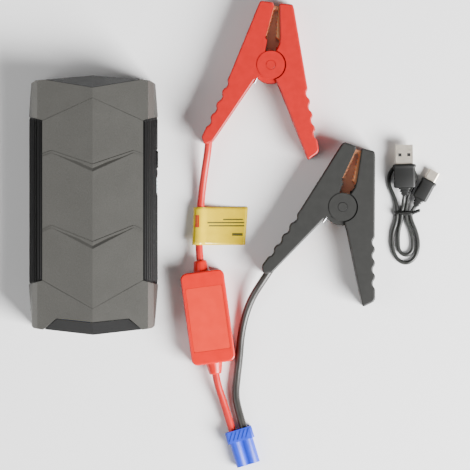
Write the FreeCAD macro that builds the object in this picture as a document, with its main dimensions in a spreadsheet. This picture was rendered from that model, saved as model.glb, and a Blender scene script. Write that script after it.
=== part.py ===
import FreeCAD, Part
import math
import os
import re

import Sketcher

# Car jump starter kit, in millimetres, +Z up, everything lying on the floor at Z = 0.
# The origin is the centre of the power unit's flat base, and +Y points to its torch end.
# To the right of it lie the clamp leads and the USB charging lead.

SIZES = [
    # power unit, case
    ("case_long", 181.2, "case, from end point to end point"),
    ("case_wide", 91.0, "case, over the shoulders"),
    ("case_tall", 37.0, "case, floor to ridge"),
    ("case_wall", 2.2, "wall of both covers"),
    ("case_split", 17.0, "height of the seam between the covers"),
    ("belt_height", 19.0, "height of the widest line"),
    ("bevel_height", 29.5, "height of the line between the two side bevels"),
    ("bevel_low", 3.2, "width of the lower side bevel"),
    ("bevel_high", 3.8, "width of the upper side bevel"),
    ("foot_inset", 5.0, "how far the base edge stands in"),
    ("foot_rise", 4.5, "height of the base bevel"),
    ("roof_fall", 2.8, "ridge to bevel, down"),
    ("end_point", 3.4, "how far the end runs out to its middle"),
    ("corner_in", 6.0, "corner cut, across"),
    ("corner_long", 2.5, "corner cut, along"),
    ("side_swell", 4.5, "how much the plan outline widens to the middle"),
    ("fit", 0.15, "gap between pieces that fit in one another"),
    ("gap", 0.4, "gap round a piece that moves"),
    # panel, grips
    ("panel_margin", 10.3, "panel edge to case side"),
    ("panel_half", "=case_wide / 2 - panel_margin", "half width of the chevron panel"),
    ("panel_thick", 2.0, "chevron panel"),
    ("plate_step", 1.4, "step under each plate's point"),
    ("dip_long", 3.4, "facet under each plate's point, along"),
    ("lip_width", 1.7, "lip along each plate's edge"),
    ("lip_drop", 0.3, "how far the lip lies below its plate"),
    ("groove_wide", 0.45, "groove between a plate and its lip"),
    ("groove_deep", 0.6, "groove between a plate and its lip, below the lip"),
    ("panel_end", 32.0, "panel corner to case end, along"),
    ("panel_rise", 16.0, "panel corner to panel point, along"),
    ("port_panel_end", 38.5, "panel corner to case end at the ports, along"),
    ("port_panel_rise", 20.0, "panel corner to panel point at the ports, along"),
    ("grip_thick", 2.2, "side grip"),
    ("grip_sunk", 0.9, "side grip below the shoulders"),
    ("grip_base", 9.0, "height of the side grip's lower edge"),
    ("grip_slant", 4.0, "how far the grip's end leans outward"),
    # torch end
    ("torch_half", 33.0, "half width of the torch window"),
    ("torch_deep", 8.9, "torch window, from its point to the end"),
    ("torch_sill", 22.0, "height of the end point of the torch facet"),
    ("torch_thick", 1.8, "torch window"),
    ("reflector_radius", 4.2, "torch reflector mouth"),
    ("reflector_deep", 6.4, "torch reflector"),
    # port end
    ("port_half", 25.2, "half width of the port cover's upper edge"),
    ("port_foot", 34.6, "half distance between the feet beside the port cover"),
    ("port_deep", 9.2, "port cover, from its upper edge to the end"),
    ("port_splay", 2.6, "how far the upper edge's corners stand in"),
    ("port_foot_deep", 4.0, "foot end to case end, along"),
    ("port_sill", 21.0, "height of the end point of the port facet"),
    ("flap_thick", 2.6, "port cover"),
    ("flap_base", 5.0, "height of the port cover's lower edge"),
    ("port_wall", 2.6, "wall behind the port bay"),
    # sockets
    ("socket_x", -12.0, "battery socket, across"),
    ("socket_z", 15.0, "battery socket, height of its middle"),
    ("socket_wall", 1.5, "battery socket"),
    ("socket_deep", 13.0, "battery socket, inside"),
    ("socket_out", 2.0, "battery socket in front of its wall"),
    ("usb_x", 7.2, "USB-A port, across"),
    ("type_x", 19.6, "USB-C port, across"),
    # inside
    ("cell_room", 0.6, "space round the battery cells"),
    ("cell_lift", 0.8, "foam under and between the cells"),
    ("board_thick", 1.6, "circuit boards"),
    ("board_z", 11.0, "main board, underside"),
    ("boss_radius", 3.4, "screw boss"),
    ("screw_radius", 1.25, "case screw shank"),
    ("head_radius", 2.5, "case screw head"),
    ("screw_inset_x", 10.5, "screw to shoulder, across"),
    ("screw_inset_y", 24.0, "screw to case end, along"),
    # button and lights on the right side
    ("button_y", 32.0, "power button, along"),
    ("button_z", 19.5, "power button, height"),
    ("button_long", 12.0, "power button"),
    ("button_tall", 6.4, "power button"),
    ("button_travel", 0.8, "power button"),
    ("lights_y", 14.0, "charge lights, along"),
    # clamps
    ("red_x", 123.9, "red clamp pivot"),
    ("red_y", 98.2, "red clamp pivot"),
    ("red_turn", -5.7, "red clamp, degrees"),
    ("black_x", 174.1, "black clamp pivot"),
    ("black_y", -1.2, "black clamp pivot"),
    ("black_turn", -15.7, "black clamp, degrees"),
    ("clamp_thick", 20.0, "clamp, across its jaws"),
    ("cheek", 2.2, "clamp cheek"),
    ("entry_height", 10.0, "height of the cable where it enters a clamp"),
    ("clamp_wall", 2.4, "clamp outer wall"),
    ("hub_radius", 9.9, "clamp hub"),
    ("ear_radius", 12.9, "ear of the moving handle under the hub"),
    ("pin_radius", 3.4, "clamp pivot pin"),
    ("scallop_deep", 1.3, "finger waves"),
    ("scallop_pitch", 9.6, "finger waves"),
    ("jaw_sheet", 1.2, "copper jaw"),
    ("tooth_pitch", 2.4, "jaw teeth"),
    ("spring_wire", 1.5, "clamp spring wire"),
    ("spring_radius", 5.2, "clamp spring, middle of its wire"),
    # leads
    ("red_wire", 5.2, "red cable"),
    ("black_wire", 5.4, "black cable"),
    ("tag_thick", 0.5, "warning tag, two layers"),
    ("module_x", 79.8, "module middle"),
    ("module_y", -78.5, "module middle"),
    ("module_turn", 7.8, "module, degrees"),
    ("module_wide", 30.8, "module"),
    ("module_long", 65.0, "module"),
    ("module_tall", 15.0, "module"),
    ("module_wall", 1.8, "module shells"),
    ("module_round", 4.5, "module corners"),
    ("boot_long", 7.8, "module strain relief"),
    ("boot_base", 5.6, "module strain relief, radius at its base"),
    ("boot_end", 3.8, "module strain relief, radius at its end"),
    ("plug_x", 101.0, "plug back face"),
    ("plug_y", -157.4, "plug back face"),
    ("plug_turn", 16.7, "plug, degrees"),
    ("plug_wide", 16.7, "plug nose"),
    ("plug_tall", 8.7, "plug nose"),
    ("plug_long", 17.5, "plug nose"),
    ("plug_grip_wide", 19.3, "plug grip"),
    ("plug_grip_long", 8.2, "plug grip"),
    ("pole_pitch", 8.1, "distance between the plug's two poles"),
    ("bullet_bore", 2.5, "bore radius of the plug's bullet contacts"),
]

doc = FreeCAD.newDocument("JumpStarterKit")
sheet = doc.addObject("Spreadsheet::Sheet", "Dims")
for row, (alias, value, meaning) in enumerate(SIZES, start=1):
    sheet.set(f"A{row}", meaning)
    sheet.set(f"B{row}", str(value))
    sheet.setAlias(f"B{row}", alias)
doc.recompute()

V = FreeCAD.Vector
ALIAS = re.compile(r"\b(" + "|".join(alias for alias, _, _ in SIZES) + r")\b")
AXES = {"X": V(1, 0, 0), "Y": V(0, 1, 0), "Z": V(0, 0, 1)}
THROUGH = "200"


# ---- helpers -------------------------------------------------------------------------------

def bound(text):
    """An expression in which each named size is a cell of the sheet."""
    return ALIAS.sub(r"Dims.\1", str(text))


def mm(text):
    """The value of an expression of named sizes."""
    return float(sheet.evalExpression(bound(text)))


def add(kind, label):
    item = doc.addObject(kind, label)
    item.Label = label
    return item


def put(item, x="0", y="0", z="0", turn=None):
    """Bind an object's place to the sheet; turn is in degrees about Z."""
    if turn is not None:
        item.Placement = FreeCAD.Placement(V(), FreeCAD.Rotation(AXES["Z"], 1))
        item.setExpression("Placement.Rotation.Angle", bound(turn))
    for axis, text in zip("xyz", (x, y, z)):
        item.setExpression(f"Placement.Base.{axis}", bound(text))
    return item


def block(label, size, middle, base):
    """A box of the given size, centred on middle in X and Y, standing on base."""
    item = add("Part::Box", label)
    for name, text in zip(("Length", "Width", "Height"), size):
        item.setExpression(name, bound(text))
    return put(item, f"{middle[0]} - ({size[0]}) / 2", f"{middle[1]} - ({size[1]}) / 2", base)


def rod(label, radius, length, x="0", y="0", z="0", axis="Z"):
    item = add("Part::Cylinder", label)
    item.setExpression("Radius", bound(radius))
    item.setExpression("Height", bound(length))
    item.Placement = FreeCAD.Placement(V(), FreeCAD.Rotation(AXES["Z"], AXES[axis]))
    return put(item, x, y, z)


def cone(label, base, top, length, x="0", y="0", z="0", axis="Z"):
    item = add("Part::Cone", label)
    item.setExpression("Radius1", bound(base))
    item.setExpression("Radius2", bound(top))
    item.setExpression("Height", bound(length))
    item.Placement = FreeCAD.Placement(V(), FreeCAD.Rotation(AXES["Z"], AXES[axis]))
    return put(item, x, y, z)


def sketch(body, role, outline, offset="0"):
    """A closed outline on one of the body's own planes, every corner bound to the sheet."""
    item = body.newObject("Sketcher::SketchObject", f"{body.Label}_outline")
    plane = next(o for o in body.Origin.OriginFeatures if o.Role == role)
    item.AttachmentSupport = [(plane, "")]
    item.MapMode = "FlatFace"
    item.setExpression("AttachmentOffset.Base.z", bound(offset))
    corners = [V(mm(x), mm(y), 0) for x, y in outline]
    for here, after in zip(corners, corners[1:] + corners[:1]):
        item.addGeometry(Part.LineSegment(here, after), False)
    for i, (x, y) in enumerate(outline):
        item.addConstraint(Sketcher.Constraint("Coincident", i, 2, (i + 1) % len(outline), 1))
        for kind, text in (("DistanceX", x), ("DistanceY", y)):
            number = item.addConstraint(Sketcher.Constraint(kind, -1, 1, i, 1, mm(text)))
            item.setExpression(f"Constraints[{number}]", bound(text))
    return item


def prism(label, outline, low, high, role="XY_Plane"):
    """A body padded from an outline between two places along the plane's own axis."""
    body = add("PartDesign::Body", label)
    start = f"-({high})" if role == "XZ_Plane" else low
    profile = sketch(body, role, outline, start)
    pad = body.newObject("PartDesign::Pad", f"{label}_pad")
    pad.Profile = profile
    pad.setExpression("Length", bound(f"({high}) - ({low})"))
    doc.recompute()
    return body


def spread(label, first, second, y_first, y_second):
    """A body lofted straight from one cross-section to another along Y."""
    body = add("PartDesign::Body", label)
    start = sketch(body, "XZ_Plane", first, f"-({y_first})")
    end = sketch(body, "XZ_Plane", second, f"-({y_second})")
    loft = body.newObject("PartDesign::AdditiveLoft", f"{label}_loft")
    loft.Profile = start
    loft.Sections = [end]
    loft.Ruled = True
    doc.recompute()
    return body


def mirrored(outline):
    """An outline on both sides of X = 0 from its right half, drawn from top to bottom."""
    left = [(f"-({x})", y) for x, y in reversed(outline) if str(x) != "0"]
    return outline + left


def cut(label, base, *tools):
    """The base with every tool taken out of it."""
    item = add("Part::Cut", label)
    item.Base = base
    item.Tool = tools[0] if len(tools) == 1 else join(f"{label}_tools", *tools)
    doc.recompute()
    return item


def join(label, *pieces):
    item = add("Part::MultiFuse", label)
    item.Shapes = list(pieces)
    item.Refine = True
    doc.recompute()
    return item


def overlap(label, *pieces):
    item = add("Part::MultiCommon", label)
    item.Shapes = list(pieces)
    doc.recompute()
    return item


def group(label, *pieces):
    """Several separate solids kept together as one piece."""
    item = add("Part::Compound", label)
    item.Links = list(pieces)
    doc.recompute()
    return item


def round_off(label, base, radius, wanted):
    """Round the edges for which wanted(edge) is true."""
    doc.recompute()
    item = add("Part::Fillet", label)
    item.Base = base
    edges = enumerate(base.Shape.Edges, start=1)
    item.Edges = [(number, mm(radius), mm(radius)) for number, edge in edges if wanted(edge)]
    doc.recompute()
    return item


def solid(label, shape):
    """A piece whose shape is worked out here."""
    item = add("Part::Feature", label)
    item.Shape = shape
    return item


def is_upright(edge):
    box = edge.BoundBox
    return box.ZLength > 1 and max(box.XLength, box.YLength) < 0.01


def is_along(edge, axis):
    box = edge.BoundBox
    lengths = {"X": box.XLength, "Y": box.YLength, "Z": box.ZLength}
    return lengths.pop(axis) > 0.5 and max(lengths.values()) < 0.01


def tangent_arc(before, corner, after, radius):
    """The arc that rounds a corner: its start, middle and end."""
    inward = (before - corner).normalize()
    onward = (after - corner).normalize()
    half = inward.getAngle(onward) / 2
    reach = radius / math.tan(half)
    middle = (inward + onward).normalize() * (radius / math.sin(half) - radius)
    return corner + inward * reach, corner + middle, corner + onward * reach


def tangent_path(points, share):
    """Straight runs joined by tangent arcs that take a share of the shorter run each."""
    edges = []
    radii = []
    last = points[0]
    for before, corner, after in zip(points, points[1:], points[2:]):
        reach = share * min((before - corner).Length, (after - corner).Length)
        radius = reach * math.tan((before - corner).getAngle(after - corner) / 2)
        start, middle, end = tangent_arc(before, corner, after, radius)
        edges.append(Part.LineSegment(last, start).toShape())
        edges.append(Part.Arc(start, middle, end).toShape())
        radii.append(radius)
        last = end
    edges.append(Part.LineSegment(last, points[-1]).toShape())
    return edges, radii


nodes = []


def piece(item):
    """Count an object among the pieces of the kit."""
    nodes.append(item)
    return item


# ---- power unit: outer form ----------------------------------------------------------------

END = "case_long / 2"
SIDE = "case_wide / 2"
BEVEL_X = f"{SIDE} - bevel_low - bevel_high"
ROOF = "case_tall - roof_fall"


def roof_at(x, drop="0"):
    """Height of the roof at a distance from the ridge."""
    return f"case_tall - ({drop}) - roof_fall * ({x}) / ({BEVEL_X})"


section = mirrored([
    ("0", "case_tall"),
    (BEVEL_X, ROOF),
    (f"{SIDE} - bevel_low", "bevel_height"),
    (SIDE, "belt_height"),
    (f"{SIDE} - foot_inset * 0.4", "foot_rise"),
    (f"{SIDE} - foot_inset", "0"),
])
plan = mirrored([
    ("0", END),
    ("torch_half", f"{END} - end_point"),
    (f"{SIDE} - corner_in", f"{END} - end_point - 0.5"),
    (f"{SIDE} - corner_in / 2.6", f"{END} - end_point - corner_long"),
    (f"{SIDE} + side_swell", "0"),
    (f"{SIDE} - corner_in / 2.1", f"-({END}) + port_foot_deep + corner_long - 0.2"),
    (f"{SIDE} - corner_in / 1.4", f"-({END}) + port_foot_deep + corner_long / 2 - 0.2"),
    ("port_foot", f"-({END}) + port_foot_deep"),
    ("port_foot - 1.8", f"-({END}) + port_foot_deep - 0.3"),
    ("0", f"-({END})"),
])
bar = prism("case_bar", section, f"-({END}) - 2", f"{END} + 2", "XZ_Plane")
footprint = prism("case_footprint", plan, "-1", "case_tall + 1")


def facet(name, side, ridge, corner, out, extra=()):
    """The space above a slanted end facet, on one side of the ridge."""
    points = [V(side * mm(x), mm(y), mm(z)) for x, y, z in (ridge, corner, out)]
    slope = (points[2] - points[0]) * 1.5
    normal = (points[1] - points[0]).cross(points[2] - points[0])

    def on_plane(x, y):
        offset = normal.x * (x - points[0].x) + normal.y * (y - points[0].y)
        return V(x, y, points[0].z - offset / normal.z)

    rim = points[:2] + [on_plane(side * mm(x), mm(y)) for x, y in extra]
    rim += [rim[-1] + slope, points[0] + slope]
    face = Part.Face(Part.makePolygon(rim + rim[:1]))
    return solid(name, face.extrude(V(0, 0, mm("case_tall"))))


facets = []
for hand, side in (("left", -1), ("right", 1)):
    facets.append(facet(
        f"torch_facet_{hand}", side,
        ("0", f"{END} - torch_deep", "case_tall"),
        ("torch_half", f"{END} - end_point", roof_at("torch_half")),
        ("0", END, "torch_sill")))
    facets.append(facet(
        f"port_facet_{hand}", side,
        ("0", f"-({END}) + port_deep", "case_tall"),
        ("port_half", f"-({END}) + port_deep + port_splay", roof_at("port_half")),
        ("0", f"-({END})", "port_sill"),
        [("port_foot", f"-({END}) + port_foot_deep")]))
form = cut("case_form", overlap("case_blank", bar, footprint), *facets)

# ---- power unit: side grips and panel ------------------------------------------------------


def grip_section(side, inset, spare, thick="grip_thick"):
    """Cross-section of a side grip, its outer skin sunk by inset, spare larger all round."""
    lean = f"{SIDE} - {inset}"
    skin = [
        (f"panel_half - {spare}", f"{ROOF} - {inset} * 0.4"),
        (f"{BEVEL_X} - {inset}", f"{ROOF} - {inset} * 0.7"),
        (f"{lean} - bevel_low", "bevel_height"),
        (lean, "belt_height"),
        (f"{lean} - 1.4", f"grip_base - {spare}"),
    ]
    inner = [
        (f"{lean} - 1.4 - {thick} - {spare}", f"grip_base - {spare}"),
        (f"{lean} - {thick} - {spare}", "belt_height"),
        (f"{lean} - bevel_low - {thick} - {spare}", "bevel_height - 1"),
        (f"{BEVEL_X} - {inset} - 0.6", f"{ROOF} - {inset} * 0.7 - {thick} - {spare}"),
        (f"panel_half - {spare}", f"{ROOF} - {inset} * 0.4 - {thick} - {spare}"),
    ]
    return [(f"{side} * ({x})", z) for x, z in skin + inner]


def grip_plan(side, spare):
    """Plan of a side grip between the shoulders, its ends leaning outward."""
    inner, outer = "panel_half - 1", f"{SIDE} + 3"
    low = f"-({END}) + port_panel_end - {spare}"
    high = f"{END} - panel_end + {spare}"
    corners = [
        (inner, low),
        (outer, f"{low} - grip_slant"),
        (outer, f"{high} + grip_slant"),
        (inner, high),
    ]
    return [(f"{side} * ({x})", y) for x, y in corners]


grips = {}
beds = {}
for hand, side in (("left", -1), ("right", 1)):
    strip = prism(f"grip_strip_{hand}", grip_section(side, "grip_sunk", "0"),
                  f"-({END})", END, "XZ_Plane")
    grips[hand] = overlap(f"grip_blank_{hand}", strip,
                          prism(f"grip_plan_{hand}", grip_plan(side, "0"), "0", "case_tall"))
    channel = prism(f"bed_strip_{hand}", grip_section(side, "-2", "fit", "(grip_thick + 2)"),
                    f"-({END})", END, "XZ_Plane")
    inner = prism(f"bed_skin_{hand}", grip_section(side, "grip_sunk", "fit"),
                  f"-({END})", END, "XZ_Plane")
    beds[hand] = overlap(f"grip_bed_{hand}", join(f"bed_both_{hand}", channel, inner),
                         prism(f"bed_plan_{hand}", grip_plan(side, "fit"), "0", "case_tall + 1"))

PANEL_TOP = f"{END} - panel_end"
PANEL_FOOT = f"-({END}) + port_panel_end"


def plate_slab(name, drop):
    """A roof-shaped slab as wide as the panel, lowered by drop."""
    half = "panel_half - fit"
    edge = roof_at(half)
    return prism(name, mirrored([
        ("0", f"case_tall - {drop}"),
        (half, f"{edge} - {drop}"),
        (half, f"{edge} - panel_thick"),
        ("0", "case_tall - panel_thick - plate_step"),
    ]), f"-({END})", END, "XZ_Plane")


def vee(point, corner, hook="0"):
    """Half outline of a V across the panel: its point, its corner and its hooked end."""
    half = "panel_half - fit"
    return [("0", point), (f"{half} - 6.5", corner), (half, f"({corner}) - {hook}")]


def between(name, high, low):
    """The plan between two Vs, the first nearer the torch."""
    outline = high + list(reversed(low))
    outline += [(f"-({x})", y) for x, y in low[1:]]
    outline += [(f"-({x})", y) for x, y in reversed(high[1:])]
    return prism(name, outline, "0", "99")


def lower(edge, by):
    return [(x, f"({y}) - {by}") for x, y in edge]


def dip(name, side, point, corner):
    """The shallow facet in a plate's surface just below the point of the plate above it."""
    reach = mm(f"{corner[0]}") * side
    low, high = V(0, mm(point), mm("case_tall - plate_step")), V(reach, mm(corner[1]), 0)
    front = V(0, mm(f"{point} - dip_long"), mm("case_tall + 0.01"))
    high.z = mm(roof_at(corner[0])) + 0.01
    floor = Part.Face(Part.makePolygon([low, front, high, low]))
    return solid(name, floor.extrude(V(0, 0, 4)))


PANEL_HIGH = vee(f"{PANEL_TOP} + panel_rise - fit", f"{PANEL_TOP} + panel_rise * 0.18", "2.9")
PANEL_LOW = vee(f"{PANEL_FOOT} - port_panel_rise + fit", f"{PANEL_FOOT} - port_panel_rise * 0.18",
                "-3.6")
STEPS = [vee("case_long * 0.147", "case_long * 0.147 + 9.6", "2.4"),
         vee("case_long * -0.150", "case_long * -0.150 + 11.4", "3")]
plates = [overlap("plate_base", plate_slab("base_slab", "(groove_deep + lip_drop)"),
                  between("base_plan", PANEL_HIGH, PANEL_LOW))]
plain_slab = plate_slab("plain_slab", "0")
lip_slab = plate_slab("lip_slab", "lip_drop")
starts = [PANEL_HIGH] + STEPS
for number, (start, end) in enumerate(zip(starts, STEPS + [PANEL_LOW])):
    last = number == 2
    above = "0" if last else "(lip_width + groove_wide)"
    zone = between(f"plate_plan_{number}", start, lower(end, f"-{above}"))
    plate = overlap(f"plate_{number}", plain_slab, zone)
    if number:
        plate = cut(f"plate_dipped_{number}", plate,
                    *(dip(f"dip_{number}_{side + 1}", side, start[0][1], start[1])
                      for side in (-1, 1)))
    plates.append(plate)
    if not last:
        plates.append(overlap(f"lip_{number}", lip_slab, between(
            f"lip_plan_{number}", lower(end, "-lip_width"), lower(end, "-0.02"))))
PANEL_ROOM = mirrored([
    ("0", "case_tall + 3"),
    ("panel_half", "case_tall + 3"),
    ("panel_half", f"{roof_at('panel_half')} - panel_thick"),
    ("0", "case_tall - panel_thick - plate_step"),
])
piece(overlap("chevron_panel", join("panel_plates", *plates),
              prism("panel_room", PANEL_ROOM, f"-({END})", END, "XZ_Plane")))

# ---- power unit: covers --------------------------------------------------------------------

CAVITY_HALF = f"{SIDE} - bevel_low - grip_thick - case_wall + 0.6"
CAVITY_ROOF = "case_tall - panel_thick - plate_step - case_wall"
CAVITY_EDGE = f"{ROOF} - panel_thick - case_wall - 0.6"
CAVITY_TORCH = f"{END} - torch_deep - case_wall - 3"
CAVITY_PORTS = f"-({END}) + port_deep + port_splay + port_wall"
cavity = prism("case_cavity", mirrored([
    ("0", CAVITY_ROOF),
    ("panel_half - 1.5", CAVITY_EDGE),
    (CAVITY_HALF, "bevel_height - grip_thick - case_wall"),
    (CAVITY_HALF, "foot_rise + 1.5"),
    (f"{CAVITY_HALF} - foot_rise", "case_wall"),
]), CAVITY_PORTS, CAVITY_TORCH, "XZ_Plane")

panel_bed = overlap(
    "panel_bed",
    prism("panel_bed_bar", PANEL_ROOM, f"-({END})", END, "XZ_Plane"),
    prism("panel_bed_plan", mirrored([
        ("0", f"{PANEL_TOP} + panel_rise"),
        ("panel_half + 1", f"{PANEL_TOP} + panel_rise * -0.02"),
        ("panel_half + 1", f"{PANEL_FOOT} + port_panel_rise * 0.02"),
        ("0", f"{PANEL_FOOT} - port_panel_rise"),
    ]), "0", "case_tall + 4"))

# The torch window wraps over the end facet and stands on the bottom cover.
TORCH_BACK = f"{END} - torch_deep"


def window_plan(spare):
    return mirrored([
        ("0", f"{END} + 2"),
        (f"torch_half + {spare}", f"{END} + 2"),
        (f"torch_half + {spare}", f"{END} - end_point - {spare}"),
        ("0", f"{TORCH_BACK} - {spare}"),
    ])


window_zone = prism("window_zone", window_plan("0"), "case_split", "case_tall")
window_inside = group("window_inside", form)
put(window_inside, "0", "-torch_thick", "-torch_thick * 0.8")
window = cut("torch_window", overlap("window_blank", form, window_zone), window_inside)
piece(window)
window_bed = prism("window_bed", window_plan("fit"), "case_split", "case_tall + 1")
LAMP_BACK = f"{TORCH_BACK} - case_wall - 3"
LAMP_WIDE = "torch_half"
LAMP_TALL = "10"
lamp_bay = block("lamp_bay", (f"{LAMP_WIDE} + 2 * fit", "torch_deep * 1.7", LAMP_TALL),
                 ("0", f"{LAMP_BACK} + torch_deep * 0.75"), "case_split")

# The port cover closes a bay at the other end, whose back wall carries the sockets.
BAY_BACK = f"-({END}) + port_deep"


def flap_plan(spare):
    """Plan of the port bay, less spare at its back and sides."""
    return mirrored([
        ("0", f"{BAY_BACK} - {spare}"),
        (f"port_half - {spare}", f"{BAY_BACK} + port_splay - {spare}"),
        (f"port_foot - {spare}", f"-({END}) + port_foot_deep - {spare} * 0.4"),
        (f"port_foot - {spare}", f"-({END}) - 3"),
    ])


port_bay = prism("port_bay", flap_plan("0"), "flap_base - gap", "case_tall + 1")
flap_inside = group("flap_inside", form)
put(flap_inside, "0", "flap_thick", "-flap_thick * 0.8")
flap = cut("port_flap",
           overlap("flap_blank", form,
                   prism("flap_zone", flap_plan("gap"), "flap_base", "case_tall")),
           flap_inside)
hinge_bead = rod("flap_bead", "1", "port_half * 1.6", "-port_half * 0.8",
                 f"-({END}) + port_foot_deep + 1.2", "flap_base + 1", "X")
piece(join("port_cover", flap, hinge_bead))

# Openings in the wall behind the bay.
SOCKET_WIDE = "plug_wide + 2 * (fit + socket_wall)"
SOCKET_TALL = "plug_tall + 2 * (fit + socket_wall)"
WALL_LONG = "port_deep + port_splay + 6"
port_holes = [
    block("socket_hole", (f"{SOCKET_WIDE} + 2 * fit", WALL_LONG, f"{SOCKET_TALL} + 2 * fit"),
          ("socket_x", CAVITY_PORTS), f"socket_z - ({SOCKET_TALL}) / 2 - fit"),
    block("usb_hole", ("14.2", WALL_LONG, "6.7"), ("usb_x", CAVITY_PORTS),
          "board_z + board_thick - 0.1"),
    block("type_hole", ("9.8", WALL_LONG, "3.9"), ("type_x", CAVITY_PORTS),
          "board_z + board_thick - 0.1"),
]

# Openings in the right wall, behind its grip, for the button and the lights.
BUTTON_FACE = f"{SIDE} - grip_sunk"
side_holes = [
    block("button_hole", ("14", "button_long + 2 * gap", "button_tall + 2 * gap"),
          (f"{SIDE} - 3", "button_y"), "button_z - button_tall / 2 - gap"),
    block("lights_hole", ("14", "11 + 2 * fit", "3 + 2 * fit"),
          (f"{SIDE} - 3", "lights_y"), "button_z - 1.5 - fit"),
]

SCREW_PLACES = [
    (f"{sx} * ({SIDE} - screw_inset_x)", f"{sy} * ({END} - screw_inset_y)")
    for sx in (-1, 1) for sy in (-1, 1)]
HEAD_DEEP = "foot_rise - 0.5"
lower_posts = []
upper_posts = []
pilot_holes = []
screw_wells = []
case_screws = []
for number, (x, y) in enumerate(SCREW_PLACES, start=1):
    lower_posts.append(rod(f"lower_post_{number}", "boss_radius", "case_split - 0.5", x, y, "0.5"))
    upper_posts.append(rod(f"upper_post_{number}", "boss_radius",
                           "case_tall - panel_thick - 3 - case_split - fit", x, y,
                           "case_split + fit"))
    pilot_holes.append(rod(f"pilot_{number}", "screw_radius + fit", "case_tall - 10", x, y, "-1"))
    screw_wells.append(rod(f"well_{number}", "head_radius + 0.3", HEAD_DEEP, x, y, "0"))
    head = rod(f"screw_head_{number}", "head_radius", "1.8", x, y, f"{HEAD_DEEP} - 1.8")
    shank = rod(f"screw_shank_{number}", "screw_radius", "case_split + 4 - foot_rise", x, y,
                f"{HEAD_DEEP} - 0.1")
    slot = block(f"screw_slot_{number}", ("0.7", "head_radius * 1.4", "0.9"), (x, y),
                 f"{HEAD_DEEP} - 1.9")
    cross = block(f"screw_cross_{number}", ("head_radius * 1.4", "0.7", "0.9"), (x, y),
                  f"{HEAD_DEEP} - 1.9")
    case_screws.append(cut(f"screw_{number}", join(f"screw_blank_{number}", head, shank),
                           slot, cross))
piece(group("case_screws", *case_screws))

low_zone = block("low_zone", ("case_wide + 20", "case_long + 20", "case_split"), ("0", "0"), "0")
high_zone = block("high_zone", ("case_wide + 20", "case_long + 20", "case_tall"), ("0", "0"),
                  "case_split + fit")

# Four posts carry the main board at the port end.
BOARD_LOW = f"{CAVITY_PORTS} + 0.5"
BOARD_HIGH = f"{BOARD_LOW} + 35"
BOARD_HALF = f"{CAVITY_HALF} - 8"
BOARD_POSTS = [(f"{side} * ({BOARD_HALF} - 3)", y) for side in (-1, 1)
               for y in (f"{BOARD_LOW} + 13", f"{BOARD_HIGH} - 3")]
board_posts = [rod(f"board_post_{number}", "2.2", "board_z - case_wall", x, y, "case_wall")
               for number, (x, y) in enumerate(BOARD_POSTS, start=1)]
board_pilots = [rod(f"board_pilot_{number}", "0.9", "board_z", x, y, "case_wall + 1.5")
                for number, (x, y) in enumerate(BOARD_POSTS, start=1)]

bottom_shell = cut("bottom_shell", overlap("bottom_blank", form, low_zone), cavity)
bottom = join("bottom_solid", bottom_shell, *lower_posts, *board_posts)
piece(cut("bottom_cover", bottom, port_bay, lamp_bay, *beds.values(), *port_holes, *side_holes,
          *pilot_holes, *screw_wells, *board_pilots))

top_shell = cut("top_shell", overlap("top_blank", form, high_zone), cavity)
top = join("top_solid", top_shell, *upper_posts)
piece(cut("top_cover", top, port_bay, panel_bed, window_bed, lamp_bay, *beds.values(),
          *port_holes, *side_holes, *pilot_holes))

grips["left"].Label = "side_grip_left"
piece(grips["left"])
piece(cut("side_grip_right", grips["right"], *side_holes))

# ---- power unit: torch, sockets, battery and boards ----------------------------------------

LAMP_Z = f"case_split + {LAMP_TALL} / 2"
lamp_spots = [f"{step} * {LAMP_WIDE} / 3" for step in (-1, 0, 1)]
reflector_block = block("reflector_block", (LAMP_WIDE, "reflector_deep", f"{LAMP_TALL} - 2 * fit"),
                        ("0", f"{LAMP_BACK} + reflector_deep / 2 + 0.5"), "case_split + fit")
bowls = [cone(f"reflector_bowl_{number}", "1.5", "reflector_radius", "reflector_deep + 0.2",
              x, f"{LAMP_BACK} + 0.4", LAMP_Z, "Y")
         for number, x in enumerate(lamp_spots, start=1)]
piece(cut("torch_reflector", reflector_block, *bowls))
torch_plate = block("torch_plate", (LAMP_WIDE, "board_thick", f"{LAMP_TALL} - 1"),
                    ("0", f"{LAMP_BACK} + 0.4 - board_thick / 2"), "case_split + 0.5")
lamps = [rod(f"lamp_{number}", "1.2", "1.4", x, f"{LAMP_BACK} + 0.3", LAMP_Z, "Y")
         for number, x in enumerate(lamp_spots, start=1)]
piece(join("torch_board", torch_plate, *lamps))

SOCKET_FRONT = f"{BAY_BACK} - socket_out"
SOCKET_LONG = "socket_deep + socket_wall"
POLES = [f"socket_x - pole_pitch / 2", f"socket_x + pole_pitch / 2"]
socket_outer = block("socket_outer", (SOCKET_WIDE, SOCKET_LONG, SOCKET_TALL),
                     ("socket_x", f"{SOCKET_FRONT} + ({SOCKET_LONG}) / 2"),
                     f"socket_z - ({SOCKET_TALL}) / 2")
socket_inner = block("socket_inner", ("plug_wide + 2 * fit", "socket_deep + 1",
                                      "plug_tall + 2 * fit"),
                     ("socket_x", f"{SOCKET_FRONT} + socket_deep / 2 - 0.5"),
                     "socket_z - plug_tall / 2 - fit")
pin_holes = [rod(f"pin_hole_{number}", "bullet_bore - 0.1", "8", x,
                 f"{SOCKET_FRONT} + socket_deep - 3", "socket_z", "Y")
             for number, x in enumerate(POLES, start=1)]
piece(cut("battery_socket", socket_outer, socket_inner, *pin_holes))
socket_pins = [rod(f"socket_pin_{number}", "bullet_bore - 0.1", f"{SOCKET_LONG} + 2",
                   x, f"{SOCKET_FRONT} + 2", "socket_z", "Y")
               for number, x in enumerate(POLES, start=1)]
piece(group("socket_pins", *socket_pins))

BOARD_TOP = "board_z + board_thick"


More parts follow.
